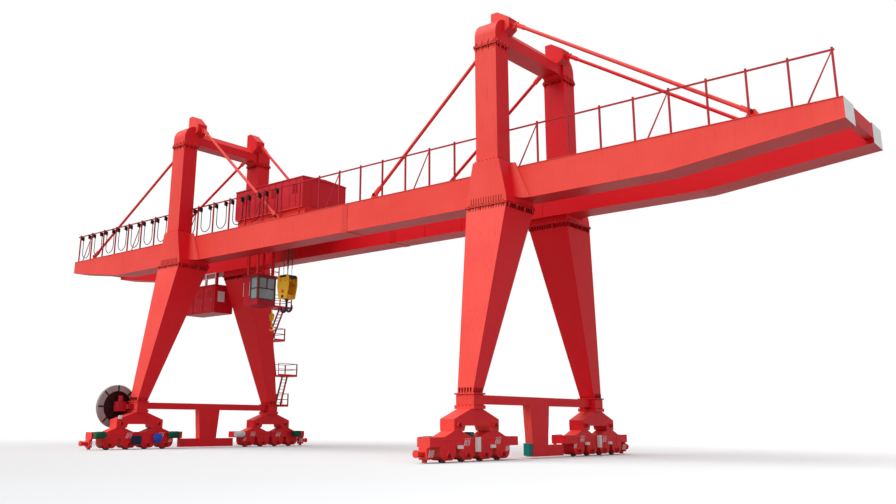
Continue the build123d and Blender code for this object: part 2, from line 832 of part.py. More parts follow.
def make_cab():
    """The operator's cab: a shell with window openings, a lipped roof and a floor frame."""
    x0 = trolley_centre_x + cab_offset - cab_length / 2
    x1 = x0 + cab_length
    shell = box(x0, x1, -cab_near_y, cab_far_y, cab_bottom, cab_top)
    roof = box(x0 - cab_roof_lip, x1 + cab_roof_lip, -cab_near_y - cab_roof_lip, cab_far_y + cab_roof_lip,
               cab_top, cab_top + cab_roof_height)
    room = box(x0 + cab_wall, x1 - cab_wall, -cab_near_y + cab_wall, cab_far_y - cab_wall,
               cab_bottom + cab_wall, cab_top - cab_wall)
    return shell.fuse(roof).cut(room, *[box(*opening) for opening in cab_window_openings()])


def make_cab_glass():
    """One pane in each window opening of the cab."""
    half = glass_thickness / 2
    panes = []
    for x0, x1, y0, y1, z0, z1 in cab_window_openings():
        if x1 - x0 > y1 - y0:
            middle = (y0 + y1) / 2
            panes.append(box(x0, x1, middle - half, middle + half, z0, z1))
        else:
            middle = (x0 + x1) / 2
            panes.append(box(middle - half, middle + half, y0, y1, z0, z1))
    return panes


def rope_falls(stage, bottom, top):
    """Four falls of rope; each stage hangs beside the one before it."""
    x = trolley_centre_x + block_offset
    falls = []
    for way in sides:
        for side in sides:
            fall_x = x + way * (rope_half_x - stage * rope_spacing)
            falls.append(rod((fall_x, side * rope_half_y, bottom), (fall_x, side * rope_half_y, top), rope_diameter))
    return falls


def aux_rope(stage, bottom, top):
    """One fall of the auxiliary hoist's rope."""
    x = trolley_centre_x + aux_offset + (stage - 1) * rope_spacing
    return rod((x, aux_y, bottom), (x, aux_y, top), rope_diameter)


def rounded_plate(x, half_x, foot_half_x, top, shoulder, bottom, radius, y0, y1):
    """A block plate with round upper corners that narrows to its foot."""
    bend = radius * (1 - math.sqrt(0.5))
    wire = Polyline((x - half_x, y0, top - radius), (x - half_x, y0, shoulder), (x - foot_half_x, y0, bottom),
                    (x + foot_half_x, y0, bottom), (x + half_x, y0, shoulder), (x + half_x, y0, top - radius))
    wire += ThreePointArc((x + half_x, y0, top - radius), (x + half_x - bend, y0, top - bend),
                          (x + half_x - radius, y0, top))
    wire += Line((x + half_x - radius, y0, top), (x - half_x + radius, y0, top))
    wire += ThreePointArc((x - half_x + radius, y0, top), (x - half_x + bend, y0, top - bend),
                          (x - half_x, y0, top - radius))
    return extrude(make_face(wire), amount=y1 - y0, dir=(0, 1, 0))


def sheave(x, y, z, radius, width):
    """A rope sheave with a groove in its rim, turning about an axis along Y."""
    half = width / 2
    profile = [(0, 0, -half), (radius, 0, -half), (radius - sheave_groove, 0, 0), (radius, 0, half), (0, 0, half)]
    disc = revolve(make_face(Polyline(profile, close=True)), axis=Axis.Z)
    return Pos(x, y, z) * Rot(90, 0, 0) * disc


def make_block():
    """The main hook block: two cheek plates, four sheaves on their pins, a top plate and a lower yoke."""
    x = trolley_centre_x + block_offset
    cheeks = [rounded_plate(x, block_half_x, block_foot_half_x, block_top, block_shoulder, block_bottom,
                            block_corner_radius, y, y + block_plate)
              for y in (-block_half_y, block_half_y - block_plate)]
    pieces = [box(x - block_half_x + block_corner_radius, x + block_half_x - block_corner_radius, -block_half_y,
                  block_half_y, block_top - block_plate, block_top),
              box(x - yoke_half_x, x + yoke_half_x, -block_half_y, block_half_y, block_bottom,
                  block_bottom + yoke_height)]
    sheave_z = block_top - 2 * block_plate - sheave_radius
    for way in sides:
        sheave_x = x + way * rope_half_x
        pieces.append(rod((sheave_x, -block_half_y - pin_proud, sheave_z),
                          (sheave_x, block_half_y + pin_proud, sheave_z), sheave_axle))
        pieces += [sheave(sheave_x, side * rope_half_y, sheave_z, sheave_radius, sheave_width) for side in sides]
    return cheeks[0].fuse(cheeks[1], *pieces)


def hook_horn(plane, arc, bar):
    """A round bar bent along an arc, with a tapered tip."""
    path = plane * arc
    horn = sweep(Plane(origin=path @ 0, z_dir=path % 0) * Circle(bar / 2), path=path)
    tip = extrude(Plane(origin=path @ 1, z_dir=path % 1) * Circle(bar / 2), amount=bar, taper=hook_tip_taper)
    return horn.fuse(tip)


def make_main_hook():
    """The double hook: a nut, a shank and two horns that turn up on either side."""
    x = trolley_centre_x + block_offset
    centre_z = hook_height + hook_bar / 2 + hook_radius
    plane = Plane(origin=(x, 0, 0), x_dir=(1, 0, 0), z_dir=(0, -1, 0))
    shank = rod((x, 0, centre_z), (x, 0, block_bottom), hook_bar)
    nut = rod((x, 0, block_bottom - hook_nut_height), (x, 0, block_bottom), hook_nut_diameter)
    right = hook_horn(plane, CenterArc((hook_radius, centre_z), hook_radius, 180, 180), hook_bar)
    left = hook_horn(plane, CenterArc((-hook_radius, centre_z), hook_radius, 0, -180), hook_bar)
    return shank.fuse(nut, right, left)


def make_aux_block():
    """The small block of the auxiliary hoist with its single hook."""
    x = trolley_centre_x + aux_offset
    shoulder = aux_top - 2 * aux_radius
    half = aux_radius / 2
    wheel = rod((x, aux_y - half, aux_top - aux_radius), (x, aux_y + half, aux_top - aux_radius), 2 * aux_radius)
    housing = prism_along_y([(x - aux_radius, aux_top - aux_radius), (x + aux_radius, aux_top - aux_radius),
                             (x + half, shoulder - aux_radius), (x - half, shoulder - aux_radius)],
                            aux_y - half, aux_y + half)
    centre_z = aux_bottom + aux_hook_bar / 2 + aux_hook_radius
    plane = Plane(origin=(x, aux_y, 0), x_dir=(1, 0, 0), z_dir=(0, -1, 0))
    shank = rod((x, aux_y, centre_z + aux_hook_radius - aux_hook_bar / 2), (x, aux_y, shoulder), aux_hook_bar)
    horn = hook_horn(plane, CenterArc((0, centre_z), aux_hook_radius, 90, -aux_hook_turn), aux_hook_bar)
    return wheel.fuse(housing, shank, horn)


def make_reel():
    """The reel: a hub, a web disc, a drum under the cable, and flat spokes on both sides."""
    turn = Pos(reel_outer_x + reel_width / 2, -reel_y, reel_height) * Rot(0, 90, 0)
    drum = Cylinder(reel_pack_inner_radius, reel_width) - Cylinder(reel_pack_inner_radius - reel_rim, reel_width)
    pieces = [Cylinder(reel_hub_radius, reel_width), Cylinder(reel_pack_inner_radius, reel_flange_thickness)]
    offset = (reel_width - reel_flange_thickness) / 2
    for index in range(reel_spoke_count):
        for way in sides:
            spoke = Pos(reel_radius / 2, 0, way * offset) * Box(reel_radius, reel_spoke_width, reel_flange_thickness)
            pieces.append(Rot(0, 0, index * 360 / reel_spoke_count) * spoke)
    bore = Cylinder(reel_shaft_diameter / 2 + shaft_clearance, reel_width)
    return turn * drum.fuse(*pieces).cut(bore)


def make_reel_pack():
    """The flat ring of cable wound on the reel."""
    depth = reel_width - 2 * reel_flange_thickness
    ring = Cylinder(reel_radius, depth) - Cylinder(reel_pack_inner_radius, depth)
    return Pos(reel_outer_x + reel_width / 2, -reel_y, reel_height) * Rot(0, 90, 0) * ring


def make_reel_bracket():
    """The gearbox, motor, arm and shaft that carry the reel on the foot's collar."""
    gear_x0 = reel_outer_x + reel_width + reel_gear_gap
    gear_x1 = gear_x0 + reel_gear_length
    y = -reel_y
    gear = box(gear_x0, gear_x1, y - reel_gear_half, y + reel_gear_half, reel_height - reel_gear_half,
               reel_height + reel_gear_half)
    arm = box(gear_x0 + reel_gear_gap, gear_x1 + reel_gear_half, y + reel_gear_half - reel_gear_gap,
              -foot_centre_y - collar_half_y + collar_lip, reel_height - reel_arm_half, reel_height + reel_arm_half)
    motor = rod((gear_x0 + reel_gear_length / 2, y, reel_height + reel_gear_half),
                (gear_x0 + reel_gear_length / 2, y, reel_height + reel_gear_half + reel_motor_length),
                reel_motor_diameter)
    shaft = disc_along_x(reel_outer_x, gear_x0, y, reel_height, reel_shaft_diameter)
    return gear.fuse(arm, motor, shaft)


def railing_panel(start, end, z, height, bar):
    """One flat panel of railing: two posts, a top bar and a knee bar between two points."""
    (x0, y0), (x1, y1) = start, end
    half = bar / 2
    pieces = [box(x - half, x + half, y - half, y + half, z, z + height) for x, y in (start, end)]
    for bar_z in (z + height - bar, z + height / 2):
        pieces.append(box(min(x0, x1) - half, max(x0, x1) + half, min(y0, y1) - half, max(y0, y1) + half,
                          bar_z, bar_z + bar))
    return pieces[0].fuse(*pieces[1:])


def make_electrical_cabin():
    """The electrical cabin under the far girder, with its hangers, door frames and lipped roof."""
    x1 = frame_x["left"] - cabin_near_x
    x0 = x1 - cabin_length
    y0 = cabin_near_y
    y1 = y0 + cabin_width
    half = cabin_hanger / 2
    cabin = box(x0, x1, y0, y1, cabin_bottom, cabin_top - cabin_roof_lip)
    pieces = [box(x0 - cabin_roof_lip, x1 + cabin_roof_lip, y0 - cabin_roof_lip, y1 + cabin_roof_lip,
                  cabin_top - cabin_roof_lip, cabin_top)]
    for x in (x0 + cabin_hanger_inset, x1 - cabin_hanger_inset):
        for y in (girder_inner_y + 2 * cabin_hanger, y1 - cabin_hanger):
            pieces.append(box(x - half, x + half, y - half, y + half, cabin_top, girder_bottom))
    for index in range(cabin_door_count):
        x = x0 + (index + 0.5) * cabin_length / cabin_door_count
        pieces.append(box(x - cabin_door_width / 2, x + cabin_door_width / 2, y0 - cabin_door_proud, y0,
                          cabin_bottom + cabin_roof_lip, cabin_top - cabin_door_top_gap))
    return cabin.fuse(*pieces)


def make_roof_railing():
    """The railing along the near edge of the electrical cabin's roof."""
    x1 = frame_x["left"] - cabin_near_x
    x0 = x1 - cabin_length
    count = cabin_railing_bays
    step = cabin_length / count
    panels = []
    for index in range(count):
        start = x0 + index * step + roof_railing_bar
        panels.append(railing_panel((start, cabin_near_y), (start + step - 2 * roof_railing_bar, cabin_near_y),
                                    cabin_top, roof_railing_height, roof_railing_bar))
    return panels


def leg_outer_at(height):
    """How far out the leg's outer face lies at one height."""
    top = leg_head - head_plate_thickness
    if height > top:
        return leg_top_outer_y
    if height < leg_foot_height:
        return foot_centre_y + collar_half_y
    share = (height - leg_foot_height) / (top - leg_foot_height)
    return leg_foot_outer_y + share * (leg_top_outer_y - leg_foot_outer_y)


def make_landings():
    """The landings beside the far leg of the left frame."""
    x = frame_x["left"]
    return [box(x - landing_half_width, x + landing_half_width, leg_outer_at(height), reach,
                height, height + stair_plate)
            for height, reach in zip(landing_heights, landing_reach)]


def stair_flights():
    """Lane, lower end and upper end of each flight, as (x, y, z) of the stringers' inner edges."""
    x = frame_x["left"]
    flights = []
    for index in range(len(landing_heights) - 1):
        low_z = landing_heights[index] + stair_plate
        high_z = landing_heights[index + 1]
        outward = index % 2 == 0
        lane = x + stair_width / 2 if outward else x - stair_width / 2
        near_y = leg_outer_at(low_z) + stair_gap
        far_y = min(landing_reach[index], landing_reach[index + 1]) - stringer_depth - landing_edge
        start_y, end_y = (near_y, far_y) if outward else (far_y, near_y)
        flights.append((lane, start_y, low_z, end_y, high_z))
    return flights


def make_stringers():
    """The two stringers of each flight."""
    stringers = []
    for lane, start_y, low_z, end_y, high_z in stair_flights():
        for side in sides:
            x = lane + side * (stair_width / 2 - stringer_thickness) - stringer_thickness / 2
            outline = [(start_y, low_z), (start_y + stringer_depth, low_z), (end_y + stringer_depth, high_z),
                       (end_y, high_z)]
            stringers.append(prism_along_x(outline, x, x + stringer_thickness))
    return stringers


def make_treads():
    """The treads between the stringers of each flight."""
    treads = []
    half = stair_width / 2 - stringer_thickness - stringer_thickness / 2
    for lane, start_y, low_z, end_y, high_z in stair_flights():
        count = int((high_z - low_z) / step_rise)
        for index in range(1, count + 1):
            z = low_z + index * (high_z - low_z) / (count + 1)
            share = (z - low_z) / (high_z - low_z)
            y = start_y + share * (end_y - start_y) + stringer_depth / 2
            treads.append(box(lane - half, lane + half, y - step_depth / 2, y + step_depth / 2, z, z + step_thickness))
    return treads


def make_stair_railings():
    """The railing panels on three sides of each landing."""
    x = frame_x["left"]
    inset = handrail_bar / 2
    panels = []
    for height, reach in zip(landing_heights, landing_reach):
        z = height + stair_plate
        outer = reach - inset
        inner = leg_outer_at(height) + stair_inset
        panels.append(railing_panel((x - stair_width, outer), (x + stair_width, outer), z,
                                    handrail_height, handrail_bar))
        for side in sides:
            rail_x = x + side * (landing_half_width - inset)
            panels.append(railing_panel((rail_x, inner), (rail_x, outer), z, handrail_height, handrail_bar))
    return panels


def make_festoon_posts():
    """The posts along the near girder, with their braces and the cable rail at their heads."""
    top = girder_top + festoon_height
    half = festoon_post / 2
    rail_half = festoon_rail / 2
    rail = box(left_end + festoon_rail_margin, right_end - festoon_rail_margin, -festoon_y - rail_half,
               -festoon_y + rail_half, top - festoon_rail, top)
    first = left_end + festoon_end_margin
    count = int((right_end - festoon_post - first) / festoon_pitch)
    pieces = []
    for index in range(count + 1):
        x = first + index * festoon_pitch
        pieces.append(box(x - half, x + half, -festoon_y - half, -festoon_y + half, girder_top, top + festoon_post))
        if index % festoon_brace_every == 1:
            tube = [(x - festoon_brace_reach, girder_top), (x - festoon_brace_reach + festoon_post, girder_top),
                    (x, top - festoon_post), (x, top)]
            pieces.append(prism_along_y(tube, -festoon_y - half / 2, -festoon_y + half / 2))
    return rail.fuse(*pieces)


def festoon_carrier_places():
    """Where the two carriers of each bay hang on the festoon rail."""
    first = left_end + festoon_end_margin + festoon_loop_start
    return [(first + index * festoon_pitch, first + index * festoon_pitch + festoon_loop_width)
            for index in range(festoon_bays)]


def make_festoon_carriers():
    """The carriers under the festoon rail that the cable is clamped in."""
    top = girder_top + festoon_height - festoon_rail
    low_y = -festoon_y - festoon_rail / 2
    high_y = -festoon_cable_y + festoon_carrier_edge
    return [box(x - festoon_carrier_half, x + festoon_carrier_half, low_y, high_y, top - festoon_carrier_drop, top)
            for pair in festoon_carrier_places() for x in pair]


def make_festoon_cable():
    """The cable between its carriers: a hanging loop in each bay and a straight stretch past each post."""
    bottom = girder_top + festoon_height - festoon_rail - festoon_carrier_drop
    places = festoon_carrier_places()
    radius = festoon_cable_diameter / 2
    lengths = []
    for start, end in places:
        bend = (end - start) / 2
        low = bottom - festoon_loop_depth + bend
        middle = (start + end) / 2
        path = Line((start, -festoon_cable_y, bottom), (start, -festoon_cable_y, low))
        path += ThreePointArc((start, -festoon_cable_y, low), (middle, -festoon_cable_y, low - bend),
                              (end, -festoon_cable_y, low))
        path += Line((end, -festoon_cable_y, low), (end, -festoon_cable_y, bottom))
        section = Plane(origin=(start, -festoon_cable_y, bottom), z_dir=(0, 0, -1)) * Circle(radius)
        lengths.append(sweep(section, path=path))
    link_z = bottom + festoon_carrier_drop / 2
    for before, after in zip(places, places[1:]):
        lengths.append(rod((before[1] + festoon_carrier_half, -festoon_cable_y, link_z),
                           (after[0] - festoon_carrier_half, -festoon_cable_y, link_z), festoon_cable_diameter))
    return lengths


def make_drives(x, inward):
    """The travel drives on the inner faces of one frame's trucks; the other frame has them turned about Z."""
    drives = []
    face = x + inward * truck_half_x
    motor_x = face + inward * (drive_diameter / 2 + drive_standoff)
    for place in drive_places:
        y = inward * place
        end = y - inward * drive_length
        gear = box(face, face + inward * drive_gear_depth, y - drive_gear_half, y + drive_gear_half,
                   drive_height - drive_gear_drop, drive_height + drive_gear_half)
        motor = rod((motor_x, y, drive_height), (motor_x, end, drive_height), drive_diameter)
        cover = rod((motor_x, end, drive_height), (motor_x, end - inward * drive_cover, drive_height),
                    drive_cover_diameter)
        drives.append(gear.fuse(motor, cover))
    return drives


def make_buffers(x):
    """The buffers at the outer ends of one frame's trucks."""
    buffers = []
    for side in sides:
        end = side * (foot_centre_y + truck_reach)
        plate = box(x - buffer_plate_half, x + buffer_plate_half, end, end + side * buffer_plate_thickness,
                    buffer_height - buffer_plate_half, buffer_height + buffer_plate_half)
        stem = rod((x, end, buffer_height), (x, end + side * buffer_length, buffer_height), buffer_diameter)
        head = rod((x, end + side * buffer_length, buffer_height),
                   (x, end + side * (buffer_length + buffer_head), buffer_height),
                   buffer_diameter + 2 * buffer_head_lip)
        buffers.append(plate.fuse(stem, head))
    return buffers


frames = list(frame_x.items())
corners = [(x, side) for name, x in frames for side in sides]
subparts = {
    "girder_near": make_girder(-1),
    "girder_far": make_girder(1),
    "end_ties": [make_end_tie(left_end, 1), make_end_tie(right_end, -1)],
    "trolley_rails": make_trolley_rails(),
    "legs": [make_leg(x, side) for x, side in corners],
    "saddles": [make_saddle(x, side) for x, side in corners],
    "portal_posts": [make_post(x, side) for x, side in corners],
    "stays": [make_stay(x, side, way) for x, side in corners for way in sides],
    "equalisers": [make_equaliser(x, side) for x, side in corners],
}
trucks = []
drives = []
wheels = []
buffers = []
for name, x in frames:
    inward = -math.copysign(1, x)
    subparts[f"top_beam_{name}"] = make_top_beam(x)
    subparts[f"foot_tie_{name}"] = make_foot_tie(x)
    subparts[f"centre_column_{name}"] = make_column(x, sides if name == "left" else (1,))
    trucks += make_trucks(x, -1) + make_trucks(x, 1)
    drives += make_drives(x, inward)
    wheels += make_wheels(x)
    buffers += make_buffers(x)
subparts["wheel_trucks"] = trucks
subparts["travel_drives"] = drives
subparts["travel_wheels"] = wheels
subparts["buffers"] = buffers
subparts["festoon_posts"] = make_festoon_posts()
subparts["festoon_carriers"] = make_festoon_carriers()
subparts["festoon_cable"] = make_festoon_cable()
subparts["electrical_cabin"] = make_electrical_cabin()
subparts["cabin_roof_railing"] = make_roof_railing()
subparts["stair_landings"] = make_landings()
subparts["stair_stringers"] = make_stringers()
subparts["stair_treads"] = make_treads()
subparts["stair_railings"] = make_stair_railings()
subparts["reel_bracket"] = make_reel_bracket()
subparts["cable_reel"] = make_reel()
subparts["reel_cable"] = make_reel_pack()
subparts["trolley_frame"] = make_trolley_frame()
subparts["trolley_wheels"] = make_trolley_wheels()
subparts["machinery_house"] = make_house()
subparts["cab_hangers"] = make_cab_hanger()
subparts["operator_cab"] = make_cab()
subparts["cab_glass"] = make_cab_glass()
subparts["main_ropes_upper"] = rope_falls(0, block_top + hoist_rise + rope_overlap, house_top - house_wall)
subparts["main_ropes_middle"] = rope_falls(1, block_top + (hoist_rise + rope_overlap) / 2, rope_top - hoist_rise / 2)
subparts["main_ropes_lower"] = rope_falls(2, block_top, rope_top - hoist_rise)
subparts["hook_block"] = make_block()
subparts["main_hook"] = make_main_hook()
subparts["aux_rope_upper"] = [aux_rope(0, aux_top + hoist_rise + rope_overlap, house_top - house_wall)]
subparts["aux_rope_middle"] = [aux_rope(1, aux_top + (hoist_rise + rope_overlap) / 2, rope_top - hoist_rise / 2)]
subparts["aux_rope_lower"] = [aux_rope(2, aux_top, rope_top - hoist_rise)]
subparts["aux_block"] = make_aux_block()

os.makedirs("parts", exist_ok=True)
for name, shape in subparts.items():
    solids = shape if isinstance(shape, list) else [shape]
    scaled = [solid.scale(model_scale, about=(0, 0, 0)) for solid in solids]
    model = scaled[0] if len(scaled) == 1 else Compound(children=scaled)
    export_step(model, f"parts/{name}.step")
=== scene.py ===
import math

import bmesh
import bpy
from bpy.props import FloatProperty, IntProperty, PointerProperty, StringProperty
from mathutils import Matrix, Vector


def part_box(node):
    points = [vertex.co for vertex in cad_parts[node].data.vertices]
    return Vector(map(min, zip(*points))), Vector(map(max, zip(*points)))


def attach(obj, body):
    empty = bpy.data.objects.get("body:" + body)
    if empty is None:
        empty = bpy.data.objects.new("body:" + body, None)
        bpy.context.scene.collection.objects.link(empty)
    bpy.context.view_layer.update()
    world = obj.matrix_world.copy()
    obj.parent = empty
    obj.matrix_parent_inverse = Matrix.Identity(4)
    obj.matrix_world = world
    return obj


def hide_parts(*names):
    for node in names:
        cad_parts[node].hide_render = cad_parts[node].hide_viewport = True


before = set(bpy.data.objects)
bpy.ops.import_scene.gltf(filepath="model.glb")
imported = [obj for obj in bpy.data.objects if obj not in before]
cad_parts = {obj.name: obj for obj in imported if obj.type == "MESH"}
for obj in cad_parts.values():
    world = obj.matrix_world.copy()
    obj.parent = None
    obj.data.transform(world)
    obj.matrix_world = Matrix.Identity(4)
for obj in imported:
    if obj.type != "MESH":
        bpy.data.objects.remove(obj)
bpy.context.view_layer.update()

bl_info = {
    "name": "Gantry Crane Finish",
    "version": (1, 0, 0),
    "blender": (4, 5, 0),
    "location": "View3D > Sidebar > Gantry Crane",
    "description": "Dresses a half size double girder gantry crane with its fittings and painted finishes",
    "category": "Object",
}

# One real millimetre in the half size model, in metres.
MM = 0.0005

SIDES = (-1, 1)


def real(corners):
    """A box's two corners in real millimetres, in which every piece is drawn."""
    return tuple(tuple(value / MM for value in corner) for corner in corners)


# The middles of the two frames and the other shared places, all in real millimetres.
LEFT_FRAME = sum(corner[0] for corner in real(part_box("foot_tie_left"))) / 2
RIGHT_FRAME = sum(corner[0] for corner in real(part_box("foot_tie_right"))) / 2
FEET = [(x, side) for x in (LEFT_FRAME, RIGHT_FRAME) for side in SIDES]
FOOT_Y = 6050
GIRDER_TOP = 15770

# How far a painted stripe leans sideways for its height.
STRIPE_SLANT = 0.35

# The far end of both girders on the model, in metres.
GIRDER_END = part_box("girder_near")[1][0]

# The finishes by their short names, filled when the first one is asked for.
made_finishes = {}


class CraneSizes(bpy.types.PropertyGroup):
    """Sizes of the fittings, at the model's own scale."""
    bolt_width: FloatProperty(name="Bolt width", description="Width of a flange bolt's head across its flats",
                              default=55 * MM, unit="LENGTH")
    bolt_pitch: FloatProperty(name="Bolt pitch", description="Distance between two bolts of a flange",
                              default=240 * MM, unit="LENGTH")
    rib_pitch: FloatProperty(name="Rib pitch", description="Distance between two ribs at a flange",
                             default=170 * MM, unit="LENGTH")
    clip_pitch: FloatProperty(name="Rail clip pitch", description="Distance between two clips of a rail",
                              default=600 * MM, unit="LENGTH")
    fin_count: IntProperty(name="Motor fins", description="Number of cooling fins round a motor", default=20)
    frame_bar: FloatProperty(name="Window frame", description="Width of the bars round the cab's windows",
                             default=70 * MM, unit="LENGTH")
    camera_lens: FloatProperty(name="Camera lens", description="Focal length of the photograph's viewpoint",
                               default=35.47, unit="CAMERA")


class CraneColours(bpy.types.PropertyGroup):
    """Colours of the finishes as sRGB hex values."""
    red: StringProperty(name="Red coat", description="Main coat of the steelwork", default="E01420")
    # The paler red stands for painted sunlight on the outward and upward faces.
    red_sunlit: StringProperty(name="Faded red", description="The coat where it has chalked", default="FB5448")
    yellow: StringProperty(name="Yellow coat", description="Coat of the hook blocks", default="F0AC08")
    green: StringProperty(name="Motor green", description="Enamel of the travel motors", default="0F5138")
    blue: StringProperty(name="Brake blue", description="Enamel of the brake drum", default="2A4FC0")
    navy: StringProperty(name="Box navy", description="Coat of the clamp and control boxes", default="1B2440")
    white: StringProperty(name="Fitting white", description="Coat of boxes and hand rails", default="DDE0DC")
    black: StringProperty(name="Forged black", description="Oiled steel of the hook", default="1E2430")
    frame_green: StringProperty(name="Frame green", description="Enamel of window frames", default="2E4A3C")


def linear_colour(text, share=1.0):
    """An sRGB hex value as a linear colour with full alpha, cut to a share of its light."""
    values = [int(text[i:i + 2], 16) / 255 for i in (0, 2, 4)]
    linear = [v / 12.92 if v <= 0.04045 else ((v + 0.055) / 1.055) ** 2.4 for v in values]
    return tuple(share * channel for channel in linear) + (1.0,)


def add_node(tree, kind, settings=None, links=None):
    """Adds one node, sets its values and links its inputs."""
    node = tree.nodes.new(kind)
    for key, value in (settings or {}).items():
        if isinstance(key, int) or key in node.inputs:
            node.inputs[key].default_value = value
        else:
            setattr(node, key, value)
    for key, source in (links or {}).items():
        tree.links.new(source, node.inputs[key])
    return node


def calculate(tree, operation, first, second=None):
    """One sum on a socket, with another socket or a number, as the socket that holds the result."""
    settings = {"operation": operation}
    links = {0: first}
    if isinstance(second, float):
        settings[1] = second
    elif second is not None:
        links[1] = second
    return add_node(tree, "ShaderNodeMath", settings, links).outputs["Value"]


def remap(tree, source, from_min, from_max, to_min=0.0, to_max=1.0):
    """Stretches a value from one range to another and stops it at the ends."""
    ranges = {"From Min": from_min, "From Max": from_max, "To Min": to_min, "To Max": to_max}
    return add_node(tree, "ShaderNodeMapRange", ranges, {"Value": source}).outputs["Result"]


def noise(tree, place, scale, detail, roughness=0.5):
    """A noise share, whose patches are about 1 / scale metres wide on the model."""
    settings = {"Scale": scale, "Detail": detail, "Roughness": roughness}
    return add_node(tree, "ShaderNodeTexNoise", settings, {"Vector": place}).outputs["Fac"]


def mix_colours(tree, share, low, high):
    """Mixes two colours, each a value or a socket, by a share, and gives the mixed socket."""
    mix = add_node(tree, "ShaderNodeMix", {"data_type": "RGBA"}, {0: share})
    for socket, source in ((mix.inputs[6], low), (mix.inputs[7], high)):
        if isinstance(source, bpy.types.NodeSocket):
            tree.links.new(source, socket)
        else:
            socket.default_value = source
    return mix.outputs[2]


def start_material(name):
    """An empty material with its node tree and the node that gives places and face directions."""
    material = bpy.data.materials.new(name)
    material.use_nodes = True
    tree = material.node_tree
    tree.nodes.clear()
    return material, tree, add_node(tree, "ShaderNodeTexCoord")


def seen_rays(tree):
    """1 for what the view sees straight or in glass, and 0 for the light that falls on the crane."""
    ray = add_node(tree, "ShaderNodeLightPath")
    return calculate(tree, "MAXIMUM", ray.outputs["Is Camera Ray"], ray.outputs["Is Transmission Ray"])


def close_material(tree, settings, links, relief=None):
    """Ends a material with its shader. relief is a height socket, the bump's strength and depth in metres."""
    if relief:
        height, strength, depth = relief
        bump = add_node(tree, "ShaderNodeBump", {"Strength": strength, "Distance": depth}, {"Height": height})
        links["Normal"] = bump.outputs["Normal"]
    shader = add_node(tree, "ShaderNodeBsdfPrincipled", settings, links)
    add_node(tree, "ShaderNodeOutputMaterial", links={"Surface": shader.outputs["BSDF"]})


def coated_steel(name, colour, sunlit_colour, roughness, dirt, band=None):
    """Sprayed coat on plate: satin and deep, with painted sunlight that pales the outward and upward faces
    and painted shade on the undersides.

    Broad patches keep it from looking flat, thin streaks show the rain that runs down, and band is the colour
    that the end faces of the girders have."""
    material, tree, place = start_material(name)
    spot = place.outputs["Object"]
    where = add_node(tree, "ShaderNodeSeparateXYZ", links={"Vector": spot})
    facing = add_node(tree, "ShaderNodeSeparateXYZ", links={"Vector": place.outputs["Normal"]})
    # Painted sunlight: faces that look away from the crane's middle or up are painted paler, in patches about
    # 2 m wide.
    patch = noise(tree, spot, 0.5, 4.0, 0.6)
    outward = calculate(tree, "MULTIPLY", facing.outputs["Y"], calculate(tree, "SIGN", where.outputs["Y"]))
    sun_facing = remap(tree, calculate(tree, "MAXIMUM", outward, facing.outputs["Z"]), 0.25, 0.9)
    painted_sunlight = calculate(tree, "MULTIPLY", sun_facing, remap(tree, patch, 0.3, 0.7, 0.7))
    coat = mix_colours(tree, painted_sunlight, linear_colour(colour), linear_colour(sunlit_colour))
    # Rain streaks are about 45 mm wide and 0.9 m long.
    stretch = add_node(tree, "ShaderNodeMapping", {"Scale": (22.0, 22.0, 1.1)}, {"Vector": spot})
    streaks = remap(tree, noise(tree, stretch.outputs["Vector"], 1.0, 5.0, 0.65), 0.56, 0.78, 0.0, dirt)
    streaked = mix_colours(tree, streaks, coat, linear_colour(colour, 0.45))
    # Painted shade: faces that look down are painted darker.
    painted_underside_shade = remap(tree, facing.outputs["Z"], -0.5, -0.95, 0.0, 0.85)
    surface = mix_colours(tree, painted_underside_shade, streaked, linear_colour(colour, 0.6))
    if band:
        along = calculate(tree, "ABSOLUTE", where.outputs["X"])
        on_end = calculate(tree, "GREATER_THAN", along, GIRDER_END - MM)
        surface = mix_colours(tree, on_end, surface, linear_colour(band))
    # The spray's ripple is about 8 mm wide, coarser than the real one so that it shows.
    ripple = noise(tree, spot, 120.0, 2.0)
    gloss = remap(tree, patch, 0.0, 1.0, roughness - 0.08, roughness + 0.12)
    close_material(tree, {"IOR": 1.5, "Specular IOR Level": 0.22},
                   {"Base Color": surface, "Roughness": gloss}, (ripple, 0.12, 0.001))
    return material


def worn_metal(name, colour, worn, roughness, scale):
    """Bare rolled or forged steel: a dark pitted skin that is rubbed bright in grains.

    The grains are 17 to 33 mm wide, so that they still show from the ground."""
    material, tree, place = start_material(name)
    grain = noise(tree, place.outputs["Object"], scale, 6.0, 0.7)
    skin = mix_colours(tree, remap(tree, grain, 0.4, 0.7), linear_colour(colour), linear_colour(worn))
    rough = remap(tree, grain, 0.0, 1.0, roughness + 0.1, roughness - 0.1)
    close_material(tree, {"Metallic": 0.85}, {"Base Color": skin, "Roughness": rough}, (grain, 0.25, 0.001))
    return material


def laid_rope(name, colour):
    """Greased wire rope: a dull shine broken by slanting strands with dark grease between them."""
    material, tree, place = start_material(name)
    # A strand comes round about every 50 mm, which is some three diameters of the model's rope.
    bands = {"wave_type": "BANDS", "bands_direction": "DIAGONAL", "Scale": 12.0}
    strands = add_node(tree, "ShaderNodeTexWave", bands, {"Vector": place.outputs["Object"]}).outputs["Fac"]
    mix = mix_colours(tree, strands, linear_colour(colour, 0.4), linear_colour(colour))
    close_material(tree, {"Metallic": 0.7, "Roughness": 0.5}, {"Base Color": mix}, (strands, 0.6, 0.002))
    return material


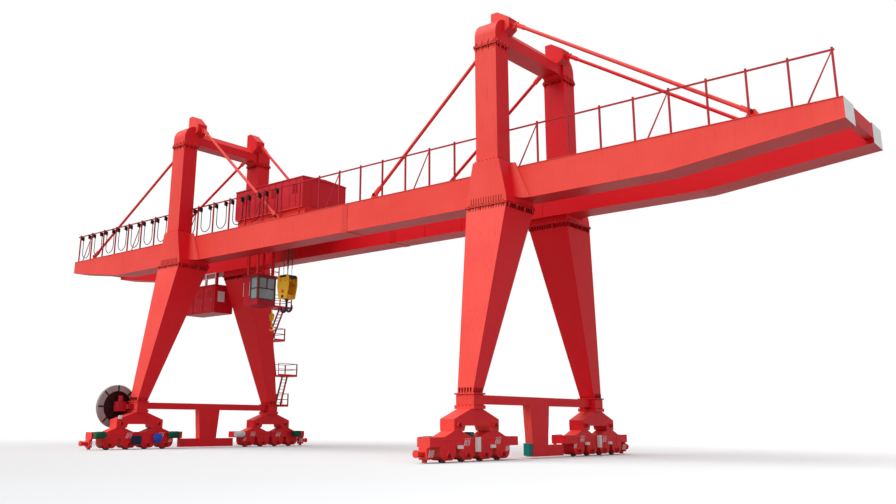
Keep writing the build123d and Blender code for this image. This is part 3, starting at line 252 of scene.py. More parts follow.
def wound_rubber(name, centre, colour, light):
    """Rubber sheathed cable in a flat spiral: matt rings round the reel's axis, with painted highlight on the
    crests of the turns and painted shade in the grooves.
    """
    material, tree, place = start_material(name)
    spot = place.outputs["Object"]
    shifted = add_node(tree, "ShaderNodeVectorMath", {"operation": "SUBTRACT", 1: centre}, {0: spot})
    flat = add_node(tree, "ShaderNodeVectorMath", {"operation": "MULTIPLY", 1: (0.0, 1.0, 1.0)},
                    {0: shifted.outputs["Vector"]})
    radius = add_node(tree, "ShaderNodeVectorMath", {"operation": "LENGTH"}, {0: flat.outputs["Vector"]})
    # The cable is about 21 mm thick at the model's scale.
    turns = calculate(tree, "MULTIPLY", radius.outputs["Value"], 2 * math.pi / 0.021)
    rings = remap(tree, calculate(tree, "SINE", turns), -1.0, 1.0)
    # Painted highlight and shade: the turns' crests are painted pale and the grooves between them dark, in
    # uneven patches.
    painted_crest_light = calculate(tree, "MULTIPLY", rings, noise(tree, spot, 6.0, 5.0))
    mix = mix_colours(tree, painted_crest_light, linear_colour(colour), linear_colour(light))
    close_material(tree, {"Roughness": 0.75}, {"Base Color": mix}, (rings, 0.8, 0.006))
    return material


def tinted_glass(name, colour):
    """Tinted float glass: smooth and grey green, with clean and dusty patches about 0.25 m wide."""
    material, tree, place = start_material(name)
    rough = remap(tree, noise(tree, place.outputs["Object"], 4.0, 6.0), 0.4, 0.8, 0.04, 0.22)
    close_material(tree, {"IOR": 1.52, "Transmission Weight": 0.3, "Base Color": linear_colour(colour)},
                   {"Roughness": rough})
    return material


def make_materials(colours):
    """Every finish of the crane, by the name that the operators use."""
    # Material, colour, colour under painted sunlight, roughness, how dark the rain streaks are, and the
    # girders' end band.
    coats = {
        "red": ("polyurethane_coat_on_plate", colours.red, colours.red_sunlit, 0.42, 0.35),
        "girder": ("polyurethane_coat_with_end_band", colours.red, colours.red_sunlit, 0.42, 0.35, "F6F6F2"),
        # The house, the cabins and the thin parts wear a deeper red than the big plates, as painted shade.
        "house": ("shaded_coat_on_profiled_sheet", "CC1626", "D42A34", 0.4, 0.35),
        "shaded_red": ("painted_shade_coat_on_sheet", "B01022", "C4222E", 0.4, 0.3),
        "yellow": ("yellow_enamel_on_plate", colours.yellow, "F6C02C", 0.38, 0.5),
        "green": ("motor_enamel_on_castings", colours.green, "1A6647", 0.35, 0.4),
        "blue": ("blue_enamel_on_castings", colours.blue, "3D63D0", 0.35, 0.3),
        "navy": ("navy_powder_coat_on_sheet", colours.navy, "263153", 0.45, 0.3),
        "white": ("white_coat_on_sheet", colours.white, "E9EAE6", 0.45, 0.5),
        "teal": ("teal_powder_coat_on_sheet", "0F6E68", "1C837C", 0.4, 0.3),
        "frame_green": ("window_enamel_on_steel", colours.frame_green, "3E5B4C", 0.4, 0.3),
        "grey": ("hot_dip_zinc_on_steel", "A9ADAD", "C3C6C5", 0.5, 0.3),
        "maroon": ("dark_primer_on_plate", "331215", "451D21", 0.6, 0.4),
        "rubber": ("moulded_buffer_rubber", "22201F", "34302E", 0.75, 0.3),
    }
    made = {kind: coated_steel(*values) for kind, values in coats.items()}
    made["black"] = worn_metal("oiled_forged_steel", colours.black, "4B5260", 0.45, 40.0)
    made["rail"] = worn_metal("rolled_rail_steel", "4A413C", "8D8781", 0.42, 30.0)
    made["bolt"] = worn_metal("painted_bolt_steel", "6A1614", "8E2420", 0.55, 60.0)
    made["rope"] = laid_rope("greased_wire_rope", "6E6B66")
    made["glass"] = tinted_glass("tinted_float_glass", "A9B6B8")
    low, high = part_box("reel_cable")
    centre = tuple((a + b) / 2 for a, b in zip(low, high))
    made["cable"] = wound_rubber("wound_cable_sheath", centre, "8E8281", "CFC6C4")
    return made


def finish(name):
    """The material with that short name, made once for the whole crane."""
    if not made_finishes:
        made_finishes.update(make_materials(bpy.context.scene.crane_colours))
    return made_finishes[name]


def add_block(bm, start, end, bevel=0.0):
    """A block between two far corners, with its edges rounded where bevel is more than nothing."""
    verts = bmesh.ops.create_cube(bm, size=1.0)["verts"]
    low = Vector([min(pair) for pair in zip(start, end)])
    high = Vector([max(pair) for pair in zip(start, end)])
    bmesh.ops.scale(bm, vec=high - low, verts=verts)
    bmesh.ops.translate(bm, vec=(low + high) / 2, verts=verts)
    if bevel:
        edges = {edge for vert in verts for edge in vert.link_edges}
        bmesh.ops.bevel(bm, geom=list(edges), offset=bevel, offset_type="OFFSET", segments=2, profile=0.5,
                        affect="EDGES", material=-1)


def add_rod(bm, start, end, radius, sides=12):
    """A round rod between two points."""
    start, end = Vector(start), Vector(end)
    axis = end - start
    verts = bmesh.ops.create_cone(bm, cap_ends=True, cap_tris=False, segments=sides, radius1=radius,
                                  radius2=radius, depth=axis.length)["verts"]
    turn = axis.to_track_quat("Z", "Y").to_matrix().to_4x4()
    bmesh.ops.transform(bm, matrix=Matrix.Translation((start + end) / 2) @ turn, verts=verts)


def add_bolt_circle(bm, centre, out, ring, count, radius):
    """A circle of bolt heads round a centre, that stand out by one vector along X or Y."""
    centre, out = Vector(centre), Vector(out)
    across = Vector((0, 1, 0)) if out.x else Vector((1, 0, 0))
    for index in range(count):
        angle = 2 * math.pi * index / count
        spot = centre + ring * math.cos(angle) * across + Vector((0, 0, ring * math.sin(angle)))
        add_rod(bm, spot, spot + out, radius, 6)


def add_turned(bm, profile, start, axis, steps=32):
    """A turned piece: profile is a list of (radius, distance along the axis)."""
    turned = bmesh.new()
    verts = [turned.verts.new((radius, 0.0, along)) for radius, along in profile]
    edges = [turned.edges.new(pair) for pair in zip(verts, verts[1:])]
    bmesh.ops.spin(turned, geom=verts + edges, cent=(0, 0, 0), axis=(0, 0, 1), angle=2 * math.pi, steps=steps,
                   use_merge=True)
    bmesh.ops.remove_doubles(turned, verts=turned.verts, dist=0.002)
    turn = Vector(axis).to_track_quat("Z", "Y").to_matrix().to_4x4()
    bmesh.ops.transform(turned, matrix=Matrix.Translation(Vector(start)) @ turn, verts=turned.verts)
    carrier = bpy.data.meshes.new("turned")
    turned.to_mesh(carrier)
    turned.free()
    bm.from_mesh(carrier)
    bpy.data.meshes.remove(carrier)


def new_piece(bm, name, body, material, smooth=False):
    """Turns a finished bmesh, drawn in real millimetres, into a piece that rides on a body."""
    bmesh.ops.scale(bm, vec=(MM, MM, MM), verts=bm.verts)
    bmesh.ops.recalc_face_normals(bm, faces=bm.faces)
    mesh = bpy.data.meshes.new(name)
    bm.to_mesh(mesh)
    bm.free()
    piece = bpy.data.objects.new(name, mesh)
    bpy.context.scene.collection.objects.link(piece)
    mesh.materials.append(finish(material))
    if smooth:
        mesh.polygons.foreach_set("use_smooth", [True] * len(mesh.polygons))
        mesh.set_sharp_from_angle(angle=math.radians(35))
    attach(piece, body)
    return piece


def ring_spots(x, y, half_x, half_y, pitch):
    """Bolt places along a rectangle round one point."""
    spots = []
    for along, across, turned in ((half_x, half_y, False), (half_y, half_x, True)):
        count = max(2, round(2 * along / pitch))
        for index in range(1 if turned else 0, count if turned else count + 1):
            step = -along + 2 * along * index / count
            for side in SIDES:
                spots.append((x + side * across, y + step) if turned else (x + step, y + side * across))
    return spots


def row_places(middle, half, pitch):
    """Evenly spaced places from middle - half to middle + half, about one pitch apart."""
    count = max(1, round(2 * half / pitch))
    return [middle - half + 2 * half * (index + 0.5) / count for index in range(count)]


def add_rib_row(bm, face, half, side, z, rise, pitch):
    """A row of upright ribs along X, on the face that looks to one side of Y, from a flange at z."""
    x, y = face
    for rib_x in row_places(x, half, pitch):
        add_block(bm, (rib_x - 9, y - side * 100, z), (rib_x + 9, y + side * 50, z + rise))


def add_ribs(bm, centre, half_x, half_y, z, rise, pitch):
    """Upright ribs round a box column, above or below its flange at z."""
    x, y = centre
    for side in SIDES:
        add_rib_row(bm, (x, y + side * half_y), half_x - 40, side, z, rise, pitch)
    for rib_y in row_places(y, half_y, pitch):
        for side in SIDES:
            face = x + side * half_x
            add_block(bm, (face - side * 100, rib_y - 9, z), (face + side * 50, rib_y + 9, z + rise))


def add_seam(bm, centre, half_x, half_y, z):
    """The dark joint line between two flanges of a box column, all the way round it and 4 mm proud."""
    x, y = centre
    for side in SIDES:
        near, far = y + side * (half_y - 20), y + side * (half_y + 4)
        add_block(bm, (x - half_x - 4, near, z - 14), (x + half_x + 4, far, z + 14))
        near, far = x + side * (half_x - 20), x + side * (half_x + 4)
        add_block(bm, (near, y - half_y, z - 14), (far, y + half_y, z + 14))


def add_stripe(bm, x, y, z, way, width, height):
    """One slanting painted stripe, 4 mm thick, on a face that looks to +X or -X."""
    verts = bmesh.ops.create_cube(bm, size=1.0)["verts"]
    bmesh.ops.scale(bm, vec=(4, width, height), verts=verts)
    lean = Matrix.Identity(4)
    lean[1][2] = STRIPE_SLANT
    bmesh.ops.transform(bm, matrix=Matrix.Translation((x + way * 2, y, z)) @ lean, verts=verts)


def add_bolt(bm, x, y, z, way, width):
    """A hexagon head on its washer, above or below a flange."""
    washer = z + way * width * 0.12
    add_rod(bm, (x, y, z), (x, y, washer), width * 0.75, 8)
    add_rod(bm, (x, y, washer), (x, y, z + way * width * 0.8), width * 0.577, 6)


class GANTRY_OT_finishes(bpy.types.Operator):
    """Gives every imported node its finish"""
    bl_idname = "gantry.finishes"
    bl_label = "Finishes"

    def execute(self, context):
        # Every node that isn't named here wears the red coat.
        wearers = {
            "rope": "main_ropes_upper main_ropes_middle main_ropes_lower "
                    "aux_rope_upper aux_rope_middle aux_rope_lower",
            "yellow": "hook_block aux_block",
            "black": "main_hook",
            "rail": "trolley_rails trolley_wheels travel_wheels",
            "glass": "cab_glass",
            "cable": "reel_cable",
            "girder": "girder_near girder_far",
            # The house, cabins, posts, stairs and reel bracket wear deeper reds as painted shade.
            "house": "machinery_house electrical_cabin",
            "shaded_red": "festoon_posts stair_railings stair_stringers operator_cab reel_bracket",
            "white": "cabin_roof_railing",
            "maroon": "cable_reel",
            "grey": "stair_treads",
            "rubber": "festoon_cable festoon_carriers",
        }
        kinds = {name: kind for kind, names in wearers.items() for name in names.split()}
        for name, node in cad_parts.items():
            material = finish(kinds.get(name, "red"))
            if not node.material_slots:
                node.data.materials.append(material)
            for entry in node.material_slots:
                entry.material = material
        return {"FINISHED"}


class GANTRY_OT_bolts(bpy.types.Operator):
    """Bolts, ribs and seams of the flanges of legs, posts and feet"""
    bl_idname = "gantry.bolts"
    bl_label = "Flange Bolts"

    def execute(self, context):
        sizes = context.scene.crane_sizes
        pitch = sizes.bolt_pitch / MM
        rib_pitch = sizes.rib_pitch / MM
        width = sizes.bolt_width / MM
        # Middles and faces of the flanges, and the half sizes of the rings that run round them.
        leg_y = (1760 + 4430) / 2
        post_y = (3080 + 4300) / 2
        leg_under, leg_over = 13450, 13570
        leg_bolts, leg_ribs, leg_lip = (1380, 1365), (1350, 1335), (1410, 1395)
        post_under, post_over = 22990, 23110
        post_bolts, post_ribs, post_lip = (775, 645), (740, 610), (810, 680)
        post_foot = 16080
        foot_under, foot_over, foot_ribs_z = 3280, 2710, 3340
        foot_bolts, foot_ribs = (605, 455), (490, 410)
        bolts = bmesh.new()
        ribs = bmesh.new()
        for x, side in FEET:
            for px, py in ring_spots(x, side * leg_y, *leg_bolts, pitch):
                add_bolt(bolts, px, py, leg_under, -1, width)
                # The saddle covers the rest of the upper face.
                if abs(py) < 3050 or abs(px - x) < 1300 and abs(py) > 4440:
                    add_bolt(bolts, px, py, leg_over, 1, width)
            for px, py in ring_spots(x, side * post_y, *post_bolts, pitch):
                add_bolt(bolts, px, py, post_under, -1, width)
                add_bolt(bolts, px, py, post_over, 1, width)
                # The post's foot has no bolts on its inner side.
                if abs(py) > 3150:
                    add_bolt(bolts, px, py, post_foot, 1, width)
            for px, py in ring_spots(x, side * FOOT_Y, *foot_bolts, pitch):
                add_bolt(bolts, px, py, foot_under, -1, width * 0.8)
                add_bolt(bolts, px, py, foot_over, 1, width * 0.8)
            leg = (x, side * leg_y)
            add_ribs(ribs, leg, *leg_ribs, leg_under, -240, rib_pitch)
            add_rib_row(ribs, (x, side * 4400), 1100, side, leg_over, 380, rib_pitch)
            add_seam(ribs, leg, *leg_lip, (leg_under + leg_over) / 2)
            post = (x, side * post_y)
            add_ribs(ribs, post, *post_ribs, post_under, -150, rib_pitch)
            add_seam(ribs, post, *post_lip, (post_under + post_over) / 2)
            add_ribs(ribs, (x, side * 6040), *foot_ribs, foot_ribs_z, 260, rib_pitch)
        new_piece(bolts, "flange_bolts", "structure", "bolt")
        # The ribs wear the dark bolt steel as painted shade between them; the seams are the flanges' dark
        # joints.
        new_piece(ribs, "flange_ribs_in_painted_shade", "structure", "bolt")
        return {"FINISHED"}


class GANTRY_OT_girder_fittings(bpy.types.Operator):
    """Adds the bolted splices and the weld beads of the girders"""
    bl_idname = "gantry.girder_fittings"
    bl_label = "Girder Fittings"

    def execute(self, context):
        # Middle, half width and lower face of a girder, then the ends and the bolt rows of its splice.
        middle = 2320
        half = 800
        bottom = 13870
        left, right = 1490, 2010
        bolt_rows = (1562.5, 1687.5, 1812.5, 1937.5)
        bolt_count = 12
        bolt_step = (GIRDER_TOP - bottom - 260) / (bolt_count - 1)
        upper_bead = (-17600, 15200, GIRDER_TOP - 33)
        lower_bead = (-25000, 24000, bottom + 33)
        plates = bmesh.new()
        bolts = bmesh.new()
        beads = bmesh.new()
        for side in SIDES:
            for face in SIDES:
                web = side * middle + face * (half - 30)
                outer = web + face * 26
                add_block(plates, (left, web, bottom + 60), (right, outer, GIRDER_TOP - 60), 3)
                for x in bolt_rows:
                    for index in range(bolt_count):
                        z = bottom + 130 + index * bolt_step
                        add_rod(bolts, (x, outer, z), (x, outer + face * 14, z), 22, 6)
                for start, end, z in (upper_bead, lower_bead):
                    add_rod(beads, (start, web, z), (end, web, z), 9, 6)
            y = side * middle
            add_block(plates, (left, y - half, bottom - 26), (right, y + half, bottom), 3)
        new_piece(plates, "web_splices", "structure", "red")
        new_piece(bolts, "splice_bolts", "structure", "bolt")
        new_piece(beads, "web_weld_beads", "structure", "red")
        return {"FINISHED"}


class GANTRY_OT_rail_clips(bpy.types.Operator):
    """Clips the trolley rails to the girders"""
    bl_idname = "gantry.rail_clips"
    bl_label = "Rail Clips"

    def execute(self, context):
        pitch = context.scene.crane_sizes.clip_pitch / MM
        low, high = real(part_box("trolley_rails"))
        margin = 600
        rail_y, clip_reach = 1650, 110
        clip_top = GIRDER_TOP + 52
        bm = bmesh.new()
        count = int((high[0] - low[0] - 2 * margin) / pitch)
        for side in SIDES:
            for face in SIDES:
                y = side * rail_y + face * clip_reach
                for index in range(count + 1):
                    x = low[0] + margin + index * pitch
                    add_block(bm, (x - 40, y - 30, GIRDER_TOP), (x + 40, y + 30, clip_top))
                    add_rod(bm, (x, y, clip_top), (x, y, clip_top + 30), 18, 6)
        new_piece(bm, "rail_clips", "structure", "bolt")
        return {"FINISHED"}


class GANTRY_OT_drives(bpy.types.Operator):
    """Builds the travel drives: finned motors, fan covers and gearboxes"""
    bl_idname = "gantry.drives"
    bl_label = "Travel Drives"

    def execute(self, context):
        fin_count = context.scene.crane_sizes.fin_count
        boxes = bmesh.new()
        groups = {"green": bmesh.new(), "white": bmesh.new()}
        radius = 240
        fin_ring, fin_radius = radius * 0.93, radius * 0.05
        z = 1000
        # The motor's body, its fan cover and the cover's domed end.
        profile = [(0, 0), (radius * 0.55, 0), (radius * 0.62, 90), (radius * 0.9, 100), (radius * 0.9, 600),
                   (radius, 605), (radius, 800), (radius * 0.85, 860), (0, 875)]
        for frame_x, inward in ((LEFT_FRAME, 1), (RIGHT_FRAME, -1)):
            face = frame_x + inward * 400
            motor_x = face + inward * 320
            for place in (-8780, -2870, 3100, 9000):
                y = inward * place
                bm = groups["white" if inward > 0 and place == 3100 else "green"]
                add_block(boxes, (face, y - 220, 740), (face + inward * 330, y + 220, 1220), 18)
                add_rod(boxes, (face + inward * 200, y, 760), (face + inward * 300, y, 760), 110, 16)
                add_turned(bm, profile, (motor_x, y, z), (0, -inward, 0), 28)
                for index in range(fin_count):
                    angle = 2 * math.pi * index / fin_count
                    x = motor_x + math.cos(angle) * fin_ring
                    fin_z = z + math.sin(angle) * fin_ring
                    add_rod(bm, (x, y - inward * 130, fin_z), (x, y - inward * 590, fin_z), fin_radius, 5)
                terminals = motor_x + inward * radius * 0.4
                add_block(bm, (terminals, y - inward * 250, z + 60),
                          (terminals + inward * radius * 0.55, y - inward * 470, z + 220), 8)
        gear = new_piece(boxes, "drive_gearboxes", "structure", "red")
        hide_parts("travel_drives")
        for kind, bm in groups.items():
            motor = new_piece(bm, "drive_motors_" + kind, "structure", kind, True)
            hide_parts("travel_drives")
        return {"FINISHED"}


class GANTRY_OT_truck_fittings(bpy.types.Operator):
    """Adds the trucks' covers, boxes, brake drum, painted stripes and grease lines"""
    bl_idname = "gantry.truck_fittings"
    bl_label = "Truck Fittings"

    def execute(self, context):
        # The axles' covers on the trucks, then the pins' covers on the equalisers: offsets from the foot,
        # reach, height, thickness and radius of the cover, and ring, count, radius and rise of its bolts.
        covers = (((-2250, -750, 750, 2250), 460, 315, 25, 90, 140, 8, 16, 18),
                  ((-1500, 1500), 540, 1765, 30, 80, 105, 6, 14, 16))
        bolts = bmesh.new()
        for x, side in FEET:
            for offsets, reach, z, thickness, radius, ring, count, bolt, rise in covers:
                for offset in offsets:
                    for face in SIDES:
                        centre = Vector((x + face * reach, side * FOOT_Y + offset, z))
                        add_rod(bolts, centre, centre + Vector((face * thickness, 0, 0)), radius, 16)
                        add_bolt_circle(bolts, centre, (face * rise, 0, 0), ring, count, bolt)
        new_piece(bolts, "axle_cover_bolts", "structure", "bolt")

        # The box with raised bars between the wheels of the left near foot.
        face = LEFT_FRAME + 400
        navy = bmesh.new()
        add_block(navy, (face, -6650, 330), (face + 330, -6000, 930), 15)
        for z in (420, 510, 600, 690, 780):
            add_block(navy, (face + 330, -6560, z), (face + 340, -6090, z + 40))
        new_piece(navy, "clamp_box", "structure", "navy")

        # The box with its lid beside the right frame's column, and the block in its near foot's arch.
        teal = bmesh.new()
        front = RIGHT_FRAME + 210
        add_block(teal, (front - 380, -1090, 150), (front, -690, 800), 12)
        add_block(teal, (front, -1050, 560), (front + 12, -730, 740))
        add_block(teal, (RIGHT_FRAME - 200, -FOOT_Y - 230, 1200), (RIGHT_FRAME + 200, -FOOT_Y + 60, 1430), 14)
        new_piece(teal, "column_switch_box", "structure", "teal")

        # The boxes on the right feet's outer faces, and a small one on the left near equaliser.
        white = bmesh.new()
        outer = RIGHT_FRAME + 400
        for side in SIDES:
            y = side * FOOT_Y
            add_block(white, (outer, y - 130, 480), (outer + 180, y + 130, 1180), 12)
            for start in (y - 1560, y + 1130):
                add_block(white, (outer, start, 640), (outer + 140, start + 330, 800), 10)
        add_block(white, (LEFT_FRAME + 450, -7830, 2080), (LEFT_FRAME + 560, -7600, 2330), 14)
        new_piece(white, "sensor_boxes", "structure", "white")

        blue = bmesh.new()
        profile = [(0, 0), (300, 0), (330, 30), (330, 260), (290, 290), (120, 300), (110, 360), (0, 365)]
        add_turned(blue, profile, (face, -4600, 760), (1, 0, 0), 32)
        new_piece(blue, "brake_drum", "structure", "blue", True)

        # Reach, first place outwards from the foot, step, height, width and rise of each group of stripes.
        stripe_groups = ((280, 3560, -105, 450, 40, 330), (400, -2530, -80, 600, 32, 240),
                         (400, 950, -120, 960, 45, 360), (400, -1650, -120, 1000, 45, 330))
        stripes = bmesh.new()
        lines = bmesh.new()
        for x, side in FEET:
            for face in SIDES:
                for index in range(4):
                    for reach, first, step, z, width, rise in stripe_groups:
                        y = side * (FOOT_Y + first + index * step)
                        add_stripe(stripes, x + face * reach, y, z, face, width, rise)
                line_x = x + face * 408
                for way in SIDES:
                    y = side * FOOT_Y + way * 1500
                    add_rod(lines, (line_x, y - 1300, 1090), (line_x, y + 1300, 1090), 16, 8)
                    for drop_y in (y - 750, y + 750):
                        add_rod(lines, (line_x, drop_y, 500), (line_x, drop_y, 1090), 12, 8)
        new_piece(stripes, "truck_stripes", "structure", "white")
        new_piece(lines, "grease_lines", "structure", "red", True)
        return {"FINISHED"}


class GANTRY_OT_cab_fittings(bpy.types.Operator):
    """Frames the cab's windows and adds its doors, ribs, hand rails and wiper"""
    bl_idname = "gantry.cab_fittings"
    bl_label = "Cab Fittings"

    def execute(self, context):
        bar = context.scene.crane_sizes.frame_bar / MM
        (x0, y0, z0), (x1, y1, z1) = real(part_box("operator_cab"))
        lip = 90
        x0, x1, y0, y1 = x0 + lip, x1 - lip, y0 + lip, y1 - lip
        sill, transom, head = z0 + 450, z0 + 1240, z0 + 2050
        start, end = x0 + 850, x1 - 120
        left, right = y0 + 120, y1 - 120
        proud = 18
        frames = bmesh.new()
        for y, way in ((y0, -1), (y1, 1)):
            far = y + way * proud
            for z in (sill, transom, head):
                add_block(frames, (start - bar, y, z - bar / 2), (end + bar, far, z + bar / 2), 2)
            for x in (start - bar / 2, end + bar / 2):
                add_block(frames, (x - bar / 2, y, sill), (x + bar / 2, far, head), 2)
        for z in (sill, transom, head):
            add_block(frames, (x1, left - bar, z - bar / 2), (x1 + proud, right + bar, z + bar / 2), 2)
        for y, foot in ((left - bar / 2, sill), ((left + right) / 2, transom), (right + bar / 2, sill)):
            add_block(frames, (x1, y - bar / 2, foot), (x1 + proud, y + bar / 2, head), 2)
        new_piece(frames, "window_frames", "trolley", "frame_green")

        doors = bmesh.new()
        for y, far in ((y0, y0 - 14), (y1, y1 + 14)):
            add_block(doors, (x0 + 90, y, z0 + 120), (x0 + 740, far, z0 + 2060), 5)
        for share in (0.15, 0.5, 0.85):
            y = y0 + share * (y1 - y0)
            add_block(doors, (x0 - 16, y - 20, z0 + 60), (x0, y + 20, z1 - 160), 3)
        # The doors and ribs wear the deeper red of painted shade.
        new_piece(doors, "cab_door_and_ribs", "trolley", "shaded_red")

        rails = bmesh.new()
        rail_y = y0 - 60
        for x in (x0 + 60, x0 + 770):
            add_rod(rails, (x, rail_y, z0 + 700), (x, rail_y, z0 + 1700), 14, 10)
            for z in (z0 + 720, z0 + 1680):
                add_rod(rails, (x, rail_y, z), (x, y0, z), 10, 8)
        middle = (y0 + y1) / 2
        add_rod(rails, (x1 + 30, middle - 150, sill + 80), (x1 + 30, middle + 160, sill + 660), 8, 8)
        new_piece(rails, "cab_hand_rails", "trolley", "white", True)
        return {"FINISHED"}


class GANTRY_OT_house_fittings(bpy.types.Operator):
    """Adds the machinery house's corner posts, doors, louvres and roof hatches"""
    bl_idname = "gantry.house_fittings"
    bl_label = "Machinery House Fittings"

    def execute(self, context):
        (x0, y0, z0), (x1, y1, z1) = real(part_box("machinery_house"))
        lip = 60
        x0, x1, y0, y1 = x0 + lip, x1 - lip, y0 + lip, y1 - lip
        eave = 18800
        post = 24
        trim = bmesh.new()
        slats = bmesh.new()
        for x in (x0, x1):
            for y in (y0, y1):
                add_block(trim, (x - post, y - post, z0), (x + post, y + post, eave), 4)
        for y, way in ((y0, -1), (y1, 1)):
            far = y + way * 22
            add_block(trim, (x0, y, z0), (x1, far, z0 + 90), 3)
            for x in (x0 + 2700, x0 + 5200):
                add_block(trim, (x, y, z0 + 120), (x + 900, far, z0 + 1850), 4)
            for x in (x0 + 900, x0 + 4050, x0 + 6350):
                for index in range(9):
                    z = z0 + 1050 + index * 85
                    add_block(slats, (x, y, z), (x + 560, y + way * 40, z + 26))
        for x, far in ((x0, x0 - 22), (x1, x1 + 22)):
            add_block(trim, (x, -1300, z0 + 100), (far, 300, z0 + 1800), 4)
        new_piece(trim, "house_trim", "trolley", "house")
        new_piece(slats, "house_louvres", "trolley", "house")
        hatches = bmesh.new()
        for x in (x0 + 1200, x0 + 4600):
            add_block(hatches, (x, -420, z1 - 70), (x + 900, 420, z1 - 2), 6)
        new_piece(hatches, "roof_hatches", "trolley", "house")
        return {"FINISHED"}


class GANTRY_OT_cabin_fittings(bpy.types.Operator):
    """Adds the electrical cabin's door handles, hinges, louvres and cooler"""
    bl_idname = "gantry.cabin_fittings"
    bl_label = "Electrical Cabin Fittings"

    def execute(self, context):
        (x0, y0, _), (x1, _, _) = real(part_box("electrical_cabin"))
        lip = 60
        x0, x1, y0 = x0 + lip, x1 - lip, y0 + lip
        door_y = y0 - 30
        grip_y = door_y - 34
        handles = bmesh.new()
        slats = bmesh.new()
        for share in (1 / 6, 1 / 2, 5 / 6):
            middle = x0 + share * (x1 - x0)
            grip = middle + 340
            hinge = middle - 450
            add_rod(handles, (grip, grip_y, 11500), (grip, grip_y, 11760), 14, 10)
            for z in (11520, 11740):
                add_rod(handles, (grip, grip_y, z), (grip, door_y + 34, z), 9, 8)
            for z in (10900, 11650, 12400):
                add_rod(handles, (hinge, door_y, z), (hinge, door_y, z + 130), 20, 10)
            for index in range(8):
                z = 11960 + index * 60
                add_block(slats, (middle - 260, door_y - 16, z), (middle + 160, door_y + 30, z + 20))
        new_piece(handles, "cabin_door_handles", "structure", "grey", True)
        new_piece(slats, "cabin_louvres", "structure", "house")
        cooler = bmesh.new()
        add_block(cooler, (x1, y0 + 300, 11500), (x1 + 55, y0 + 950, 12350), 10)
        for index in range(7):
            z = 11580 + index * 100
            add_block(cooler, (x1 + 50, y0 + 350, z), (x1 + 60, y0 + 900, z + 40))
        new_piece(cooler, "cabin_cooler", "structure", "white")
        return {"FINISHED"}


class GANTRY_OT_block_fittings(bpy.types.Operator):
    """Adds the hook block's dark bands and painted shade, pin caps, rope guards and trunnions"""
    bl_idname = "gantry.block_fittings"
    bl_label = "Hook Block Fittings"

    def execute(self, context):
        (x0, _, z0), (x1, _, z1) = real(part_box("hook_block"))
        middle = (x0 + x1) / 2
        cheek = 430
        axle = z1 - 390
        guard = z1 - 780
        trunnion = z0 + 560
        bands = bmesh.new()
        caps = bmesh.new()
        trunnions = bmesh.new()
        for way in SIDES:
            face = way * cheek
            far = way * (cheek + 12)
            # The black band along the top of each cheek and the black over the block's top ends are painted
            # shade under the block's top.
            add_block(bands, (middle - 330, face, z1 - 190), (middle + 330, far, z1 - 30), 3)
            add_block(bands, (middle - 120, face, z0 + 60), (middle + 120, far, z0 + 260), 3)
            add_block(bands, (middle + way * 345, 65 - cheek, z1 - 300),
                      (middle + way * 600, cheek - 65, z1 - 60), 60)
            for x in (middle - 300, middle + 300):
                add_rod(caps, (x, way * 510, axle), (x, way * 530, axle), 45, 6)
                add_bolt_circle(caps, (x, face, axle), (0, way * 16, 0), 110, 8, 16)
            for x in (middle - 500, middle + 500):
                add_rod(caps, (x, -cheek, guard), (x, cheek, guard), 26, 10)
            add_rod(trunnions, (middle, face, trunnion), (middle, face + way * 70, trunnion), 120, 20)
        new_piece(bands, "block_bands_and_painted_shade", "main_hoist", "black")
        new_piece(caps, "block_pin_caps", "main_hoist", "yellow")
        new_piece(trunnions, "block_trunnions", "main_hoist", "red")
        return {"FINISHED"}


class GANTRY_OT_stair_fittings(bpy.types.Operator):
    """Adds the open gratings and kick plates of the stair landings"""
    bl_idname = "gantry.stair_fittings"
    bl_label = "Stair Fittings"

    def execute(self, context):
        # The leg's outer face leans inwards between its foot and its head, and the landings end at it.
        foot_z, head_z = 3340, 13450
        foot_face, head_face = 6450, 4430
        left, right = LEFT_FRAME - 690, LEFT_FRAME + 690
        bar_pitch = 70
        plates = bmesh.new()
        bars = bmesh.new()
        for height, reach in ((3150, 7450), (5600, 8300), (8450, 6800), (11200, 7400), (13600, 5900)):
            share = (height - foot_z) / (head_z - foot_z)
            inner = foot_face + min(share, 1.0) * (head_face - foot_face) if share > 0 else 6530
            z = height + 60
            end = reach - 60
            for x in (left - 30, right + 30):
                add_block(plates, (x - 5, inner + 300, z), (x + 5, end, z + 120))
            add_block(plates, (left, end - 5, z), (right, end + 5, z + 120))
            for index in range(int((reach - 100 - inner) / bar_pitch)):
                y = inner + 60 + index * bar_pitch
                add_block(bars, (left, y - 4, z), (right, y + 4, z + 8))
        new_piece(plates, "landing_kick_plates", "structure", "red")
        new_piece(bars, "landing_gratings", "structure", "grey")
        return {"FINISHED"}


